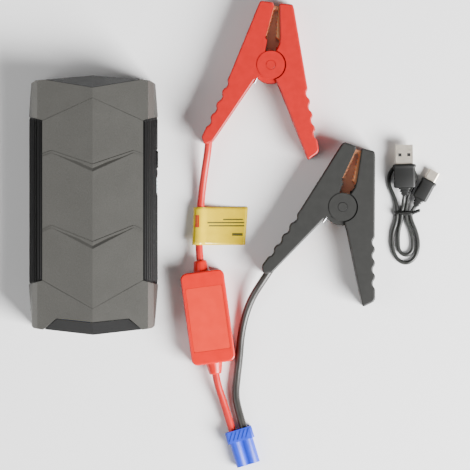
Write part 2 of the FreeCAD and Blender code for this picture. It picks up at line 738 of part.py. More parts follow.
def port(label, wide, deep, tall, x, tongue):
    """A thin metal socket shell lying on the main board, open to the bay, with its tongue."""
    front = f"{BAY_BACK} + port_splay * ({x}) / port_half"
    outer = block(f"{label}_outer", (wide, deep, tall), (x, f"{front} + {deep} / 2"), BOARD_TOP)
    inner = block(f"{label}_inner", (f"{wide} - 0.8", f"{deep} - 0.8", f"{tall} - 0.8"),
                  (x, f"{front} + {deep} / 2 - 1.2"), f"{BOARD_TOP} + 0.4")
    blade = block(f"{label}_blade", (f"{wide} - 1.8", f"{deep} - 1.5", tongue),
                  (x, f"{front} + {deep} / 2 + 0.6"), f"{BOARD_TOP} + {tall} / 2")
    return piece(join(label, cut(f"{label}_shell", outer, inner), blade))


port("usb_a_port", "13.2", "14", "5.9", "usb_x", "1.6")
port("usb_c_port", "8.9", "7.4", "3.2", "type_x", "0.6")

board_blank = prism("board_blank", [
    (f"-({BOARD_HALF})", BOARD_LOW),
    (f"socket_x - ({SOCKET_WIDE}) / 2 - 1", BOARD_LOW),
    (f"socket_x - ({SOCKET_WIDE}) / 2 - 1", f"{SOCKET_FRONT} + {SOCKET_LONG} + 1"),
    (f"socket_x + ({SOCKET_WIDE}) / 2 + 1", f"{SOCKET_FRONT} + {SOCKET_LONG} + 1"),
    (f"socket_x + ({SOCKET_WIDE}) / 2 + 1", BOARD_LOW),
    (BOARD_HALF, BOARD_LOW),
    (BOARD_HALF, BOARD_HIGH),
    (f"-({BOARD_HALF})", BOARD_HIGH),
], "board_z", BOARD_TOP)
board_holes = [rod(f"board_hole_{number}", "1", "board_thick + 2", x, y, "board_z - 1")
               for number, (x, y) in enumerate(BOARD_POSTS, start=1)]
piece(cut("main_board", board_blank, *board_holes))
board_screws = []
for number, (x, y) in enumerate(BOARD_POSTS, start=1):
    head = rod(f"board_screw_head_{number}", "1.8", "1.2", x, y, BOARD_TOP)
    shank = rod(f"board_screw_shank_{number}", "0.85", "6", x, y, f"{BOARD_TOP} - 5.5")
    board_screws.append(join(f"board_screw_{number}", head, shank))
piece(group("board_screws", *board_screws))

# Relay, coil, transistors and capacitors on the main board.
chips = [
    block("relay", ("15", "12", "10"), ("10", f"{BOARD_HIGH} - 8"), BOARD_TOP),
    block("controller", ("7", "7", "1.2"), ("22", f"{BOARD_HIGH} - 14"), BOARD_TOP),
    block("transistor_1", ("5", "6", "1.6"), ("-26", f"{BOARD_LOW} + 20"), BOARD_TOP),
    block("transistor_2", ("5", "6", "1.6"), ("-26", f"{BOARD_LOW} + 27"), BOARD_TOP),
    rod("capacitor_1", "4", "8", "24", f"{BOARD_LOW} + 20", BOARD_TOP),
    rod("capacitor_2", "2.6", "6", "1", f"{BOARD_LOW} + 18", BOARD_TOP),
    rod("coil", "3.4", "4", "14", f"{BOARD_LOW} + 18", BOARD_TOP),
]
piece(group("board_parts", *chips))

# The button presses a switch on a side board; a light guide sits beside it.
SWITCH_TIP = f"{CAVITY_HALF} - 1.3 - button_travel - 0.2"
SIDE_BOARD = f"{SWITCH_TIP} - 3.4 - board_thick"
BUTTON_OUT = f"{SIDE} - grip_sunk + 0.6"
side_plate = block("side_plate", ("board_thick", "36", "10"),
                   (f"{SIDE_BOARD} + board_thick / 2", "(button_y + lights_y) / 2"),
                   "button_z - 5")
light_chips = [
    block(f"light_chip_{step}", ("1", "1.6", "1.2"),
          (f"{SIDE_BOARD} + board_thick + 0.4", f"lights_y + {(step - 1.5) * 2.6}"),
          "button_z - 0.6") for step in range(4)]
piece(join("side_board", side_plate, *light_chips))
switch_case = block("switch_case", ("2.8", "6", "6"),
                    (f"{SWITCH_TIP} - 2", "button_y"), "button_z - 3")
switch_tip = rod("switch_tip", "1.7", "0.8", f"{SWITCH_TIP} - 0.8", "button_y", "button_z", "X")
piece(join("button_switch", switch_case, switch_tip))
button_cap = block("button_cap", (f"{BUTTON_OUT} - ({CAVITY_HALF}) + 0.3", "button_long",
                                  "button_tall"),
                   (f"({BUTTON_OUT} + {CAVITY_HALF} - 0.3) / 2", "button_y"),
                   "button_z - button_tall / 2")
button_round = round_off("button_round", button_cap, "button_tall * 0.35",
                         lambda edge: is_along(edge, "X"))
button_flange = block("button_flange", ("1", "button_long + 1.8", "button_tall + 1.8"),
                      (f"{CAVITY_HALF} - 0.8", "button_y"), "button_z - button_tall / 2 - 0.9")
piece(join("power_button", button_round, button_flange))
guide_bar = block("guide_bar", ("4.4", "11", "3"), (f"{SIDE} - 3.2", "lights_y"),
                  "button_z - 1.5")
guide_pips = [rod(f"guide_pip_{step}", "0.7", "2.6", f"{SIDE} - 3.2",
                  f"lights_y + {(step - 1.5) * 2.6}", "button_z", "X") for step in range(4)]
piece(join("charge_light_guide", guide_bar, *guide_pips))

# Three flat cells on foam, with two bus bars to the battery socket's pins.
CELL_HALF = f"min({SIDE_BOARD}; {SIDE} - screw_inset_x - boss_radius) - cell_room"
CELL_LOW = f"{BOARD_HIGH} + 4"
CELL_HIGH = f"{END} - screw_inset_y - boss_radius - 3"
CELL_TALL = f"(({CAVITY_EDGE}) - case_wall - 3 * cell_lift - cell_room) / 3"
CELL_STEP = f"({CELL_TALL} + cell_lift)"
CELL_MIDDLE = ("0", f"({CELL_LOW} + {CELL_HIGH}) / 2")
pads = []
for number in range(3):
    base = f"case_wall + cell_lift + {number} * {CELL_STEP}"
    pads.append(block(f"foam_{number + 1}",
                      (f"2 * ({CELL_HALF}) - 6", f"{CELL_HIGH} - ({CELL_LOW}) - 6", "cell_lift"),
                      CELL_MIDDLE, f"{base} - cell_lift"))
    pouch = block(f"pouch_{number + 1}",
                  (f"2 * ({CELL_HALF})", f"{CELL_HIGH} - ({CELL_LOW})", CELL_TALL),
                  CELL_MIDDLE, base)
    pouch = round_off(f"pouch_round_{number + 1}", pouch, "2.4", is_upright)
    tabs = [block(f"tab_{number + 1}_{side}", ("5", "3.4", "0.4"), (x, f"{CELL_LOW} - 1.5"),
                  f"{base} + {CELL_TALL} / 2") for side, x in enumerate(POLES)]
    piece(join(f"battery_cell_{number + 1}", pouch, *tabs))
piece(group("cell_foam", *pads))
for name, x in zip(("bus_negative", "bus_positive"), POLES):
    run = block(f"{name}_run", ("5", f"{CELL_LOW} - 3.2 - ({SOCKET_FRONT}) - {SOCKET_LONG} - 4",
                                "1"),
                (x, f"({CELL_LOW} - 3.2 + {SOCKET_FRONT} + {SOCKET_LONG} + 4) / 2"),
                "socket_z - 0.5")
    rise = block(f"{name}_rise", ("5", "1", f"3 * {CELL_STEP} - 2"), (x, f"{CELL_LOW} - 3.7"),
                 "case_wall + 2")
    piece(join(name, run, rise))

# ---- clamps --------------------------------------------------------------------------------
# Drawn about the pivot with the jaws towards +Y, lying on one cheek, then turned into place.
# An outline's corner is (x, y, radius). The finger waves follow the corner named in WAVES.

FIXED_OUTLINE = [
    (-1.9, 41.6, 0), (-2.8, 43.7, 1.6), (-11.9, 44.0, 2.4), (-28.0, -10.1, 40),
    (-43.2, -55.1, 3.2), (-40.9, -60.3, 2.2), (-34.9, -57.4, 1.7), (-9.5, -10.5, 0),
    (-4.0, -7.0, 0), (-4.9, 10.2, 0), (-4.2, 17.0, 0.4), (-5.7, 18.2, 0.5)]
MOVING_OUTLINE = [
    (11.1, 43.6, 2.2), (1.7, 43.4, 1.2), (4.5, 20.0, 2.0), (4.5, 15.6, 2.0), (2.6, 10.0, 0),
    (3.0, -8.0, 0), (7.6, -15.5, 3.0), (31.5, -62.0, 0.6), (33.0, -63.2, 0.8),
    (39.8, -57.2, 4.0), (26.0, -9.2, 90), (12.6, 39.7, 8.0)]
# The corner before the waves, the straight length up to them, and the rim's rounded corners.
WAVES = {"fixed": (3, 1.6, (2, 3, 4, 5)), "moving": (9, 4.8, (9, 10, 11, 0))}
FIXED_HOLLOW = [
    (6.0, 40.8), (-9.6, 41.2), (-25.2, -10.4), (-39.2, -51.5), (-37.4, -54.4), (-33.2, -54.4),
    (6.0, 0.0)]
MOVING_HOLLOW = [
    (-6.0, 40.4), (9.2, 40.6), (23.0, -9.6), (36.2, -55.6), (33.4, -58.4), (-6.0, 4.0)]
JAW_EDGE = {
    "fixed": ((-0.15, 41.4), (-0.15, 39.6), (-1.2, 38.4), (-4.3, 20.0), (-6.6, 20.0),
              (-3.4, 41.4)),
    "moving": ((0.15, 41.4), (0.15, 39.6), (0.9, 38.4), (1.5, 20.4), (6.4, 16.2), (4.2, 41.4)),
}


def texts(points):
    return [(str(x), str(y)) for x, y in points]


def toothed(edge):
    """A jaw's plan: nose, a row of teeth between the third and fourth points, then its back."""
    nose, below, start, end, *back = edge
    depth = 0.9 if start[0] < 0 else -0.9
    count = int((start[1] - end[1]) // mm("tooth_pitch"))
    points = [nose, below, start]
    for step in range(count):
        share = [(step + part) / count for part in (0.5, 1.0)]
        valley, tip = ([a + (b - a) * s for a, b in zip(start, end)] for s in share)
        points += [(valley[0] - depth, valley[1]), (tip[0], tip[1])]
    return texts(points + back)


def finger_waves(start, end, lead):
    """A line with four finger waves cut into it, after a straight lead."""
    along = (end - start).normalize()
    inward = V(-along.y, along.x, 0)
    pitch, deep = mm("scallop_pitch"), mm("scallop_deep")
    points = [start]
    for wave in range(4):
        for part, depth in ((0.14, 0), (0.36, 1.25), (0.64, 1.25), (0.86, 0)):
            reach = lead + (wave + part) * pitch
            points.append(start + along * reach + inward * (depth * deep))
    return tangent_path(points + [end], 0.48)[0]


def handle(name, half, outline, hollow):
    """A U-shaped handle: two cheeks and an outer wall with finger waves."""
    waved, lead, rounded = WAVES[half]
    corners = [V(x, y, 0) for x, y, _ in outline]
    arcs = []
    for i, (_, _, radius) in enumerate(outline):
        before, after = corners[i - 1], corners[(i + 1) % len(corners)]
        arcs.append(tangent_arc(before, corners[i], after, radius) if radius
                    else [corners[i]] * 3)
    edges = []
    rim = []
    for i, (start, middle, end) in enumerate(arcs):
        after = (i + 1) % len(arcs)
        bend = [Part.Arc(start, middle, end).toShape()] if outline[i][2] else []
        line = [Part.LineSegment(end, arcs[after][0]).toShape()]
        if i == waved:
            line = finger_waves(end, arcs[after][0], lead)
        edges += bend + line
        rim += bend * (i in rounded) + line * (i in rounded or after in rounded)
    thick = mm("clamp_thick")
    face = Part.Face(Part.Wire(edges))
    blank = solid(f"{name}_blank", face.extrude(V(0, 0, thick)))
    middles = [edge.CenterOfMass for edge in rim]

    def is_outer_rim(edge):
        middle = edge.CenterOfMass
        level = edge.BoundBox.ZLength < 0.01
        return level and any(math.hypot(middle.x - at.x, middle.y - at.y) < 0.01
                             for at in middles)

    rim = round_off(f"{name}_rim", blank, "1.2", is_outer_rim)
    inside = prism(f"{name}_inside", texts(hollow), "cheek", "clamp_thick - cheek")
    return rim, inside, blank


EAR_THICK = "2.4"
EAR_LAYERS = ("cheek + gap", f"clamp_thick - cheek - gap - {EAR_THICK}")
# The coil takes as many whole turns and a half as fit between the ears.
SPRING_ROOM = f"clamp_thick - 2 * (cheek + gap + {EAR_THICK}) - spring_wire - 1"
SPRING_RISE = f"spring_wire * 1.1 * (0.5 + floor(({SPRING_ROOM}) / (spring_wire * 1.1) - 0.5))"


def fixed_handle(colour, tail_lean):
    """The handle that the cable enters, with the hub discs on its cheeks."""
    rim, inside, _ = handle(f"{colour}_fixed", "fixed", FIXED_OUTLINE, FIXED_HOLLOW)
    hubs = [rod(f"{colour}_hub_{n}", "hub_radius", "cheek", "0", "0", z)
            for n, z in enumerate(("0", "clamp_thick - cheek"))]
    rings = [cut(f"{colour}_ring_{n}",
                 rod(f"{colour}_ring_out_{n}", "hub_radius + 0.35", "0.5", "0", "0", z),
                 rod(f"{colour}_ring_in_{n}", "hub_radius - 0.25", "0.5", "0", "0", z))
             for n, z in enumerate(("0", "clamp_thick - 0.5"))]
    bore = rod(f"{colour}_bore", "pin_radius", "clamp_thick + 2", "0", "0", "-1")
    lean = math.radians(tail_lean)
    entry = rod(f"{colour}_entry", f"{colour}_wire / 2 + fit", "12", axis="Y")
    turn = FreeCAD.Rotation(AXES["Z"], -tail_lean)
    entry.Placement = FreeCAD.Placement(V(), turn.multiply(entry.Placement.Rotation))
    put(entry, str(-37.9 - 4 * math.sin(lean)), str(-59.4 - 4 * math.cos(lean)), "entry_height")
    hollowed = cut(f"{colour}_fixed_hollow", rim, inside)
    whole = join(f"{colour}_fixed_whole", hollowed, *hubs)
    return cut(f"{colour}_fixed_handle", whole, bore, entry, *rings)


def moving_handle(colour):
    """The lever, whose ears turn on the pin just inside the hub discs."""
    rim, inside, blank = handle(f"{colour}_moving", "moving", MOVING_OUTLINE, MOVING_HOLLOW)
    hollowed = cut(f"{colour}_moving_hollow", rim, inside)
    ears = []
    for number, z in enumerate(EAR_LAYERS):
        ears.append(rod(f"{colour}_ear_{number}", "ear_radius", EAR_THICK, "0", "0", z))
        pad = rod(f"{colour}_pad_round_{number}", "ear_radius + 2.4", f"{EAR_THICK} + gap",
                  "0", "0", z if number else "cheek")
        ears.append(overlap(f"{colour}_pad_{number}", blank, pad))
    recesses = [rod(f"{colour}_recess_{n}", "hub_radius + 2 * gap", "cheek + gap", "0", "0", z)
                for n, z in enumerate(("0", "clamp_thick - cheek - gap"))]
    loose = rod(f"{colour}_loose_bore", "pin_radius + 0.3", "clamp_thick + 2", "0", "0", "-1")
    flat = "hub_radius - 0.5"
    throat = prism(f"{colour}_ear_flat", [("-14", flat), ("2.6", flat), ("2.6", "16"),
                                          ("-14", "16")], "0", "clamp_thick")
    whole = join(f"{colour}_moving_whole", hollowed, *ears)
    return cut(f"{colour}_moving_handle", whole, loose, throat, *recesses)


def jaw(colour, half):
    """A folded copper jaw whose two toothed flanges lie against the cheeks."""
    edge = JAW_EDGE[half]
    sign = -1 if half == "fixed" else 1
    blank = prism(f"{colour}_{half}_jaw_blank", toothed(edge), "cheek", "clamp_thick - cheek")
    low, high = (x - sign * mm("jaw_sheet") for x, _ in edge[-2:])
    channel = prism(f"{colour}_{half}_jaw_channel", texts([
        (low + sign * 0.4, edge[-2][1] - 6), (high, edge[-1][1] + 4),
        (-sign * 4, 46), (-sign * 4, 12)]),
        "cheek + jaw_sheet", "clamp_thick - cheek - jaw_sheet")
    return cut(f"{colour}_{half}_jaw", blank, channel)


def torsion_spring(colour):
    """A coil round the pin with one leg down each handle."""
    rise = mm(SPRING_RISE)
    low = mm("clamp_thick / 2") - rise / 2
    body = add("PartDesign::Body", f"{colour}_spring_coil")
    wire = body.newObject("Sketcher::SketchObject", f"{colour}_spring_wire")
    plane = next(o for o in body.Origin.OriginFeatures if o.Role == "XZ_Plane")
    wire.AttachmentSupport = [(plane, "")]
    wire.MapMode = "FlatFace"
    middle = V(mm("spring_radius"), low, 0)
    wire.addGeometry(Part.Circle(middle, AXES["Z"], mm("spring_wire / 2")), False)
    coil = body.newObject("PartDesign::AdditiveHelix", f"{colour}_spring_helix")
    coil.Profile = wire
    coil.ReferenceAxis = (wire, ["V_Axis"])
    coil.Mode = 0
    coil.setExpression("Pitch", bound("spring_wire * 1.1"))
    coil.setExpression("Height", bound(SPRING_RISE))
    legs = []
    for side, height in ((1, low), (-1, low + rise)):
        start = V(side * mm("spring_radius"), 0.3, height)
        leg = Part.makeCylinder(mm("spring_wire / 2"), 15, start, V(side * 0.33, -0.94, 0))
        legs.append(solid(f"{colour}_spring_leg_{side + 1}", leg))
    return join(f"{colour}_spring", body, *legs)


def clamp(colour, tail_lean):
    """Both handles with their jaws, the pin, the spring and the cable's lug."""
    made = [fixed_handle(colour, tail_lean), moving_handle(colour)]
    made += [jaw(colour, "fixed"), jaw(colour, "moving"), torsion_spring(colour)]
    pin = rod(f"{colour}_pin_rod", "pin_radius", "clamp_thick - 0.4", "0", "0", "0.2")
    made.append(round_off(f"{colour}_pivot_pin", pin, "0.5",
                          lambda edge: edge.BoundBox.ZLength < 0.01))
    lug = rod(f"{colour}_lug_tube", "2.2", "13", axis="Y")
    turn = FreeCAD.Rotation(AXES["Z"], -15.5)
    lug.Placement = FreeCAD.Placement(V(), turn.multiply(lug.Placement.Rotation))
    put(lug, "-37.9", "-56.0", "entry_height")
    strap = prism(f"{colour}_lug_strap", texts([
        (-35.4, -44.0), (-36.6, -44.0), (-23.6, -9.0), (-10.2, 33.0), (-7.0, 33.0),
        (-5.7, 24.0), (-6.5, 24.0), (-7.8, 31.8), (-9.6, 31.8), (-22.4, -9.0)]),
        "entry_height - 3", "entry_height + 3")
    made.append(join(f"{colour}_cable_lug", lug, strap))
    for item in made:
        put(item, f"{colour}_x", f"{colour}_y", "0", f"{colour}_turn")
        piece(item)
    doc.recompute()


clamp("red", 0)
clamp("black", 18.5)


# ---- cables --------------------------------------------------------------------------------

def cord(label, points, diameter):
    """A tube along straight runs joined by tangent arcs, each as large as its runs allow."""
    corners = [V(*point) for point in points]
    edges, radii = tangent_path(corners, 0.45)
    path = Part.Wire(edges)
    ring = Part.Circle(corners[0], corners[1] - corners[0], diameter / 2)
    tube = path.makePipeShell([Part.Wire(ring.toShape())], True, False)
    ideal = math.pi * diameter ** 2 / 4 * path.Length
    print(f"{label}: length {path.Length:.1f}, volume {tube.Volume / ideal:.4f} of ideal, radii",
          " ".join(f"{radius:.0f}" for radius in radii))
    return solid(label, tube)


RED_CLAMP_CABLE = [
    (80.6, 45.8, 10), (79.8, 37.5, 10), (78.0, 26.5, 7.4), (76.4, 15.0, 4.8),
    (74.9, 2.0, 3.75), (73.8, -14.5, 4.9), (73.49, -32.43, 7.5), (75.39, -46.3, 7.5)]
RED_PLUG_CABLE = [
    (84.21, -110.7, 7.5), (85.97, -123.5, 7.5), (89.9, -135.5, 5.4), (93.66, -147.1, 4.6),
    (97.12, -158.56, 4.6)]
BLACK_CABLE = [
    (123.8, -44.8, 10), (117.6, -53.9, 10), (110.6, -65.0, 6.8), (105.8, -78.0, 3.8),
    (102.9, -92.5, 2.8), (101.9, -107.5, 2.8), (100.2, -121.5, 2.8), (99.0, -133.8, 3.8),
    (101.5, -144.9, 4.6), (104.88, -156.24, 4.6)]
CHARGE_CABLE = [
    (217.7, 6.7, 6.8), (217.4, 3.2, 6.6), (216.8, -0.8, 3.4), (216.2, -5.0, 1.9),
    (216.0, -10.5, 1.6), (213.9, -18.0, 1.4), (213.6, -25.5, 1.4), (214.2, -32.4, 1.4),
    (219.0, -35.6, 1.4), (223.8, -32.4, 1.4), (224.3, -25.5, 1.4), (222.7, -18.0, 1.4),
    (219.5, -10.5, 1.6), (219.2, -2.0, 1.9),
    (220.7, 7.0, 1.4), (224.4, 14.0, 1.4), (226.6, 21.0, 1.4), (222.3, 28.0, 1.4),
    (213.5, 28.6, 1.4), (207.6, 23.6, 1.4), (206.8, 14.6, 1.4), (211.0, 6.4, 1.4),
    (213.1, -2.2, 1.9), (212.8, -11.0, 1.6), (209.6, -19.5, 1.4), (209.4, -30.0, 1.4),
    (213.0, -38.4, 1.4), (219.4, -41.2, 1.4), (225.6, -37.4, 1.4), (228.4, -28.5, 1.4),
    (226.6, -18.5, 1.4), (222.9, -10.6, 1.6), (222.3, -5.0, 1.9), (225.69, -0.46, 3.2)]
CHARGE_WIRE = 2.7
doc.recompute()
piece(cord("red_cable_clamp_side", RED_CLAMP_CABLE, mm("red_wire")))
piece(cord("red_cable_plug_side", RED_PLUG_CABLE, mm("red_wire")))
piece(cord("black_cable", BLACK_CABLE, mm("black_wire")))
piece(cord("charge_cable", CHARGE_CABLE, CHARGE_WIRE))

# The warning tag: a film sleeve round the red cable, with a free flag lying to its right.
TAG_START, TAG_END = V(74.62, -1.2, 4.05), V(73.52, -27.0, 6.7)
TAG_BORE = mm("red_wire / 2 + 0.6")


def tag_rod(label, radius):
    along = TAG_END - TAG_START
    return solid(label, Part.makeCylinder(radius, along.Length, TAG_START, along))


flag = prism("tag_flag", [
    ("74.2", "5.3"), ("108", "tag_thick * 0.6"), ("108", "tag_thick * 1.6"),
    ("74.2", "5.3 + tag_thick")], "-28.2", "-1.2", "XZ_Plane")
piece(cut("warning_tag", join("tag_film", tag_rod("tag_sleeve", TAG_BORE + mm("tag_thick")), flag),
          tag_rod("tag_bore", TAG_BORE)))

# ---- in-line module ------------------------------------------------------------------------
# Drawn about its middle with the clamp end towards +Y, then turned into place.

MODULE_MID = "module_tall / 2"
MODULE_SIZE = ("module_wide", "module_long")


def module_half(name, base, tall, open_base, hole_z):
    outer = block(f"{name}_outer", (*MODULE_SIZE, tall), ("0", "0"), base)
    outer = round_off(f"{name}_corners", outer, "module_round", is_upright)
    level = mm(base) if name == "module_lower_shell" else mm(f"{base} + {tall}")
    outer = round_off(f"{name}_rim", outer, "1.2",
                      lambda edge: abs(edge.BoundBox.ZMin - level) < 0.01
                      and edge.BoundBox.ZLength < 0.01)
    inner = block(f"{name}_inner",
                  ("module_wide - 2 * module_wall", "module_long - 2 * module_wall",
                   f"{tall} - module_wall + 1"), ("0", "0"), open_base)
    inner = round_off(f"{name}_inner_corners", inner, "module_round - module_wall", is_upright)
    return outer, inner, rod(f"{name}_bore", "red_wire / 2 - 0.6", "module_long + 4", "0",
                             f"{hole_z} - module_long / 2 - 2", MODULE_MID, "Y")


recess = block("label_recess", ("module_wide - 5", "45", "1"), ("0", "-0.9"), "module_tall - 0.5")
lower = cut("module_lower_shell",
            *module_half("module_lower_shell", "0", "module_tall / 2 - fit", "module_wall", "0"))
upper = cut("module_upper_shell",
            *module_half("module_upper_shell", MODULE_MID, MODULE_MID, f"{MODULE_MID} - 1", "0"),
            recess)
label_plate = round_off(
    "module_label",
    block("label_blank", ("module_wide - 5 - 2 * fit", "45 - 2 * fit", "0.35"), ("0", "-0.9"),
          "module_tall - 0.5"), "1", lambda edge: edge.BoundBox.ZLength > 0.2)
board = block("module_board_blank", ("module_wide - 2 * module_wall - 2", "module_long - 14",
                                     "board_thick"), ("0", "0"), "module_wall + 2.2")
ledge = [block(f"ledge_{n}", ("4", "3", "2.2 + 0.5"),
               ("0", f"{side} * (module_long / 2 - 9)"), "module_wall - 0.5")
         for n, side in enumerate((-1, 1))]
lower_whole = join("module_lower_whole", lower, *ledge)
lower.Label = "module_lower_plain"
lower_whole.Label = "module_lower_shell"
relay = block("module_relay_blank", ("15", "19", "module_tall - module_wall * 2 - 2.8 - board_thick"),
              ("0", "-6"), "module_wall + 2.2 + board_thick")
boots = []
for name, side in (("module_boot_clamp_side", 1), ("module_boot_plug_side", -1)):
    boot = cone(f"{name}_cone", "boot_base", "boot_end", "boot_long", "0",
                f"{side} * module_long / 2", MODULE_MID, "Y")
    if side < 0:
        turn = FreeCAD.Rotation(AXES["Z"], V(0, -1, 0))
        boot.Placement = FreeCAD.Placement(V(), turn)
        put(boot, "0", "-module_long / 2", MODULE_MID)
    bore = rod(f"{name}_bore", "red_wire / 2", "boot_long + 2", "0",
               f"{side} * (module_long / 2 + boot_long / 2) - boot_long / 2 - 1", MODULE_MID, "Y")
    boots.append(cut(name, boot, bore))
for item in (lower_whole, upper, label_plate, group("module_board", board),
             group("module_relay", relay), group("module_boots", *boots)):
    put(item, "module_x", "module_y", "0", "module_turn")
    piece(item)

# ---- battery plug --------------------------------------------------------------------------
# Drawn from the middle of its back face with the nose towards -Y, then turned into place.

PLUG_Z = "plug_tall / 2 + 0.25"
plug_grip = block("plug_grip", ("plug_grip_wide", "plug_grip_long", "plug_tall + 0.5"),
                  ("0", "-plug_grip_long / 2"), "0")
plug_grip = round_off("plug_grip_round", plug_grip, "1.6", lambda edge: is_along(edge, "Y"))
tubes = [rod(f"plug_tube_{n}", "plug_tall / 2", "plug_long + 0.5",
             f"{side} * (plug_wide - plug_tall) / 2", "-plug_grip_long - plug_long", PLUG_Z, "Y")
         for n, side in enumerate((-1, 1))]
web = block("plug_web", ("plug_wide - plug_tall", "plug_long + 0.5", "plug_tall * 0.62"),
            ("0", "-plug_grip_long - plug_long / 2 + 0.25"), f"{PLUG_Z} - plug_tall * 0.31")
ribs = []
for step in range(5):
    rib = block(f"plug_rib_{step}", ("0.9", "7", "1"), ("0", "0"), "0")
    rib = group(f"plug_rib_turned_{step}", rib)
    ribs.append(put(rib, f"{(step - 2) * 3.0}", "-plug_grip_long / 2", "plug_tall - 0.1", "-32"))
sockets = [rod(f"plug_socket_{n}", "bullet_bore + 0.6", "plug_long + plug_grip_long - 1.5",
               f"{side} * pole_pitch / 2", "-plug_grip_long - plug_long - 0.5", PLUG_Z, "Y")
           for n, side in enumerate((-1, 1))]
housing = cut("plug_housing", join("plug_blank", plug_grip, web, *tubes, *ribs), *sockets)
barrels = []
for n, side in enumerate((-1, 1)):
    x = f"{side} * pole_pitch / 2"
    outer = rod(f"bullet_out_{n}", "bullet_bore + 0.6", "plug_long + 4", x,
                "-plug_grip_long - plug_long + 1", PLUG_Z, "Y")
    inner = rod(f"bullet_in_{n}", "bullet_bore", "plug_long", x,
                "-plug_grip_long - plug_long + 0.5", PLUG_Z, "Y")
    barrels.append(cut(f"bullet_{n}", outer, inner))
for item in (housing, group("plug_contacts", *barrels)):
    put(item, "plug_x", "plug_y", "0", "plug_turn")
    piece(item)

# ---- USB charging lead ---------------------------------------------------------------------
# Each plug is drawn from the middle of its grip's back with its nose towards +Y.


def usb_plug(name, place, turn, grip, shell, boot, core):
    """Grip with its boot, metal shell and the tongue inside it; sizes are width, length, height."""
    x, y, middle = place
    body = block(f"{name}_body", grip, ("0", f"{grip[1]} / 2"), f"{middle} - {grip[2]} / 2")
    body = round_off(f"{name}_body_round", body, "1.7", lambda edge: is_along(edge, "Y"))
    tail = cone(f"{name}_tail", boot[0], boot[1], f"{boot[2]} + 0.5", "0", f"-({boot[2]})",
                middle, "Y")
    outer = block(f"{name}_shell_out", shell, ("0", f"{grip[1]} + {shell[1]} / 2"),
                  f"{middle} - {shell[2]} / 2")
    if name == "usb_c":
        outer = round_off(f"{name}_shell_round", outer, "1.2", lambda edge: is_along(edge, "Y"))
    inner = block(f"{name}_shell_in", (f"{shell[0]} - 0.7", shell[1], f"{shell[2]} - 0.7"),
                  ("0", f"{grip[1]} + {shell[1]} / 2 + 0.4"), f"{middle} - {shell[2]} / 2 + 0.35")
    windows = [block(f"{name}_window_{n}", ("2.2", "2.2", "2"),
                     (f"{side} * 3.1", f"{grip[1]} + 6.6"), f"{middle} + {shell[2]} / 2 - 1")
               for n, side in enumerate((-1, 1))] if name == "usb_a" else []
    tongue = block(f"{name}_tongue_blank", core[:3], ("0", f"{grip[1]} + 0.4 + {core[1]} / 2"),
                   f"{middle} + {core[3]}")
    tongue = group(f"{name}_tongue", tongue)
    made = (join(f"{name}_grip", body, tail), cut(f"{name}_shell", outer, inner, *windows))
    for item in made:
        piece(item)
    for item in (*made, tongue):
        put(item, x, y, "0", turn)
    return tongue


tongue_a = usb_plug("usb_a", ("218.1", "12.2", "6.8"), "1",
                    ("15.6", "16.7", "7.4"), ("12", "13.6", "4.5"), ("1.75", "3.2", "5.5"),
                    ("10.8", "11.8", "1.8", "0"))
tongue_c = usb_plug("usb_c", ("228.35", "4.35", "3.2"), "-29",
                    ("10.6", "15.3", "6.2"), ("8.34", "7.2", "2.56"), ("1.7", "2.6", "5.5"),
                    ("6.4", "5", "0.6", "-0.3"))
piece(group("usb_tongues", tongue_a, tongue_c))
tie_band = block("tie_band", ("13.6", "3.6", "4.2"), ("217.7", "-5.6"), "0")
tie_room = block("tie_room", ("12.8", "4", "3.4"), ("217.7", "-5.6"), "0.4")
tie_twist = rod("tie_twist", "0.8", "4.5", "224.3", "-5.6", "2.4", "X")
piece(join("cable_tie", cut("tie_loop", tie_band, tie_room), tie_twist))

# ---- checks and files ----------------------------------------------------------------------

doc.recompute()
for item in doc.Objects:
    if "Invalid" in item.State or "Error" in item.State:
        raise RuntimeError(f"{item.Label} failed: {item.State}")
for item in nodes:
    if item.Shape.isNull() or not item.Shape.isValid() or item.Shape.Volume <= 0:
        raise RuntimeError(f"{item.Label} has no valid solid")
labels = [item.Label for item in nodes]
if len(set(labels)) != len(labels):
    raise RuntimeError("two pieces share a name")

os.makedirs("parts", exist_ok=True)
for item in nodes:
    item.Shape.exportStep(f"parts/{item.Label}.step")
print(len(nodes), "pieces written")
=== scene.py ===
# %% [markdown]
# # A car jump starter kit
# The shapes that have to work come from the engineering model. Here they get their finishes, and
# the soft or very fine pieces are made again with more detail.

# %% Load the frame
import math

import bmesh
import bpy
from mathutils import Matrix, Vector
from mathutils.bvhtree import BVHTree


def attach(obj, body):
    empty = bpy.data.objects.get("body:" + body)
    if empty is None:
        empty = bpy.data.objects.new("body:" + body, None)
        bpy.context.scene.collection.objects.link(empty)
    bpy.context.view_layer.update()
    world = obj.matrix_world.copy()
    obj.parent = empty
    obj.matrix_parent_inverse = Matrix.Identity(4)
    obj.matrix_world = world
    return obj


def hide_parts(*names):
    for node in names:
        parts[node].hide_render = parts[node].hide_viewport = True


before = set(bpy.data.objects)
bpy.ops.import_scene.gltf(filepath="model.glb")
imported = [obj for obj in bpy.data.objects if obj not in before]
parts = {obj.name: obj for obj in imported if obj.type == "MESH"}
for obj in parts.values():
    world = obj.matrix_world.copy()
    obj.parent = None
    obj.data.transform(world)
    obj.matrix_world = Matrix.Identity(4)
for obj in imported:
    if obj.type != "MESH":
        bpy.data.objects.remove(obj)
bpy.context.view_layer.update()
MM = 0.001
print(len(parts), "pieces in the frame")

# %% [markdown]
# ## Camera
# A long lens keeps upright walls from leaning outward, which is how such a layout is usually
# drawn.

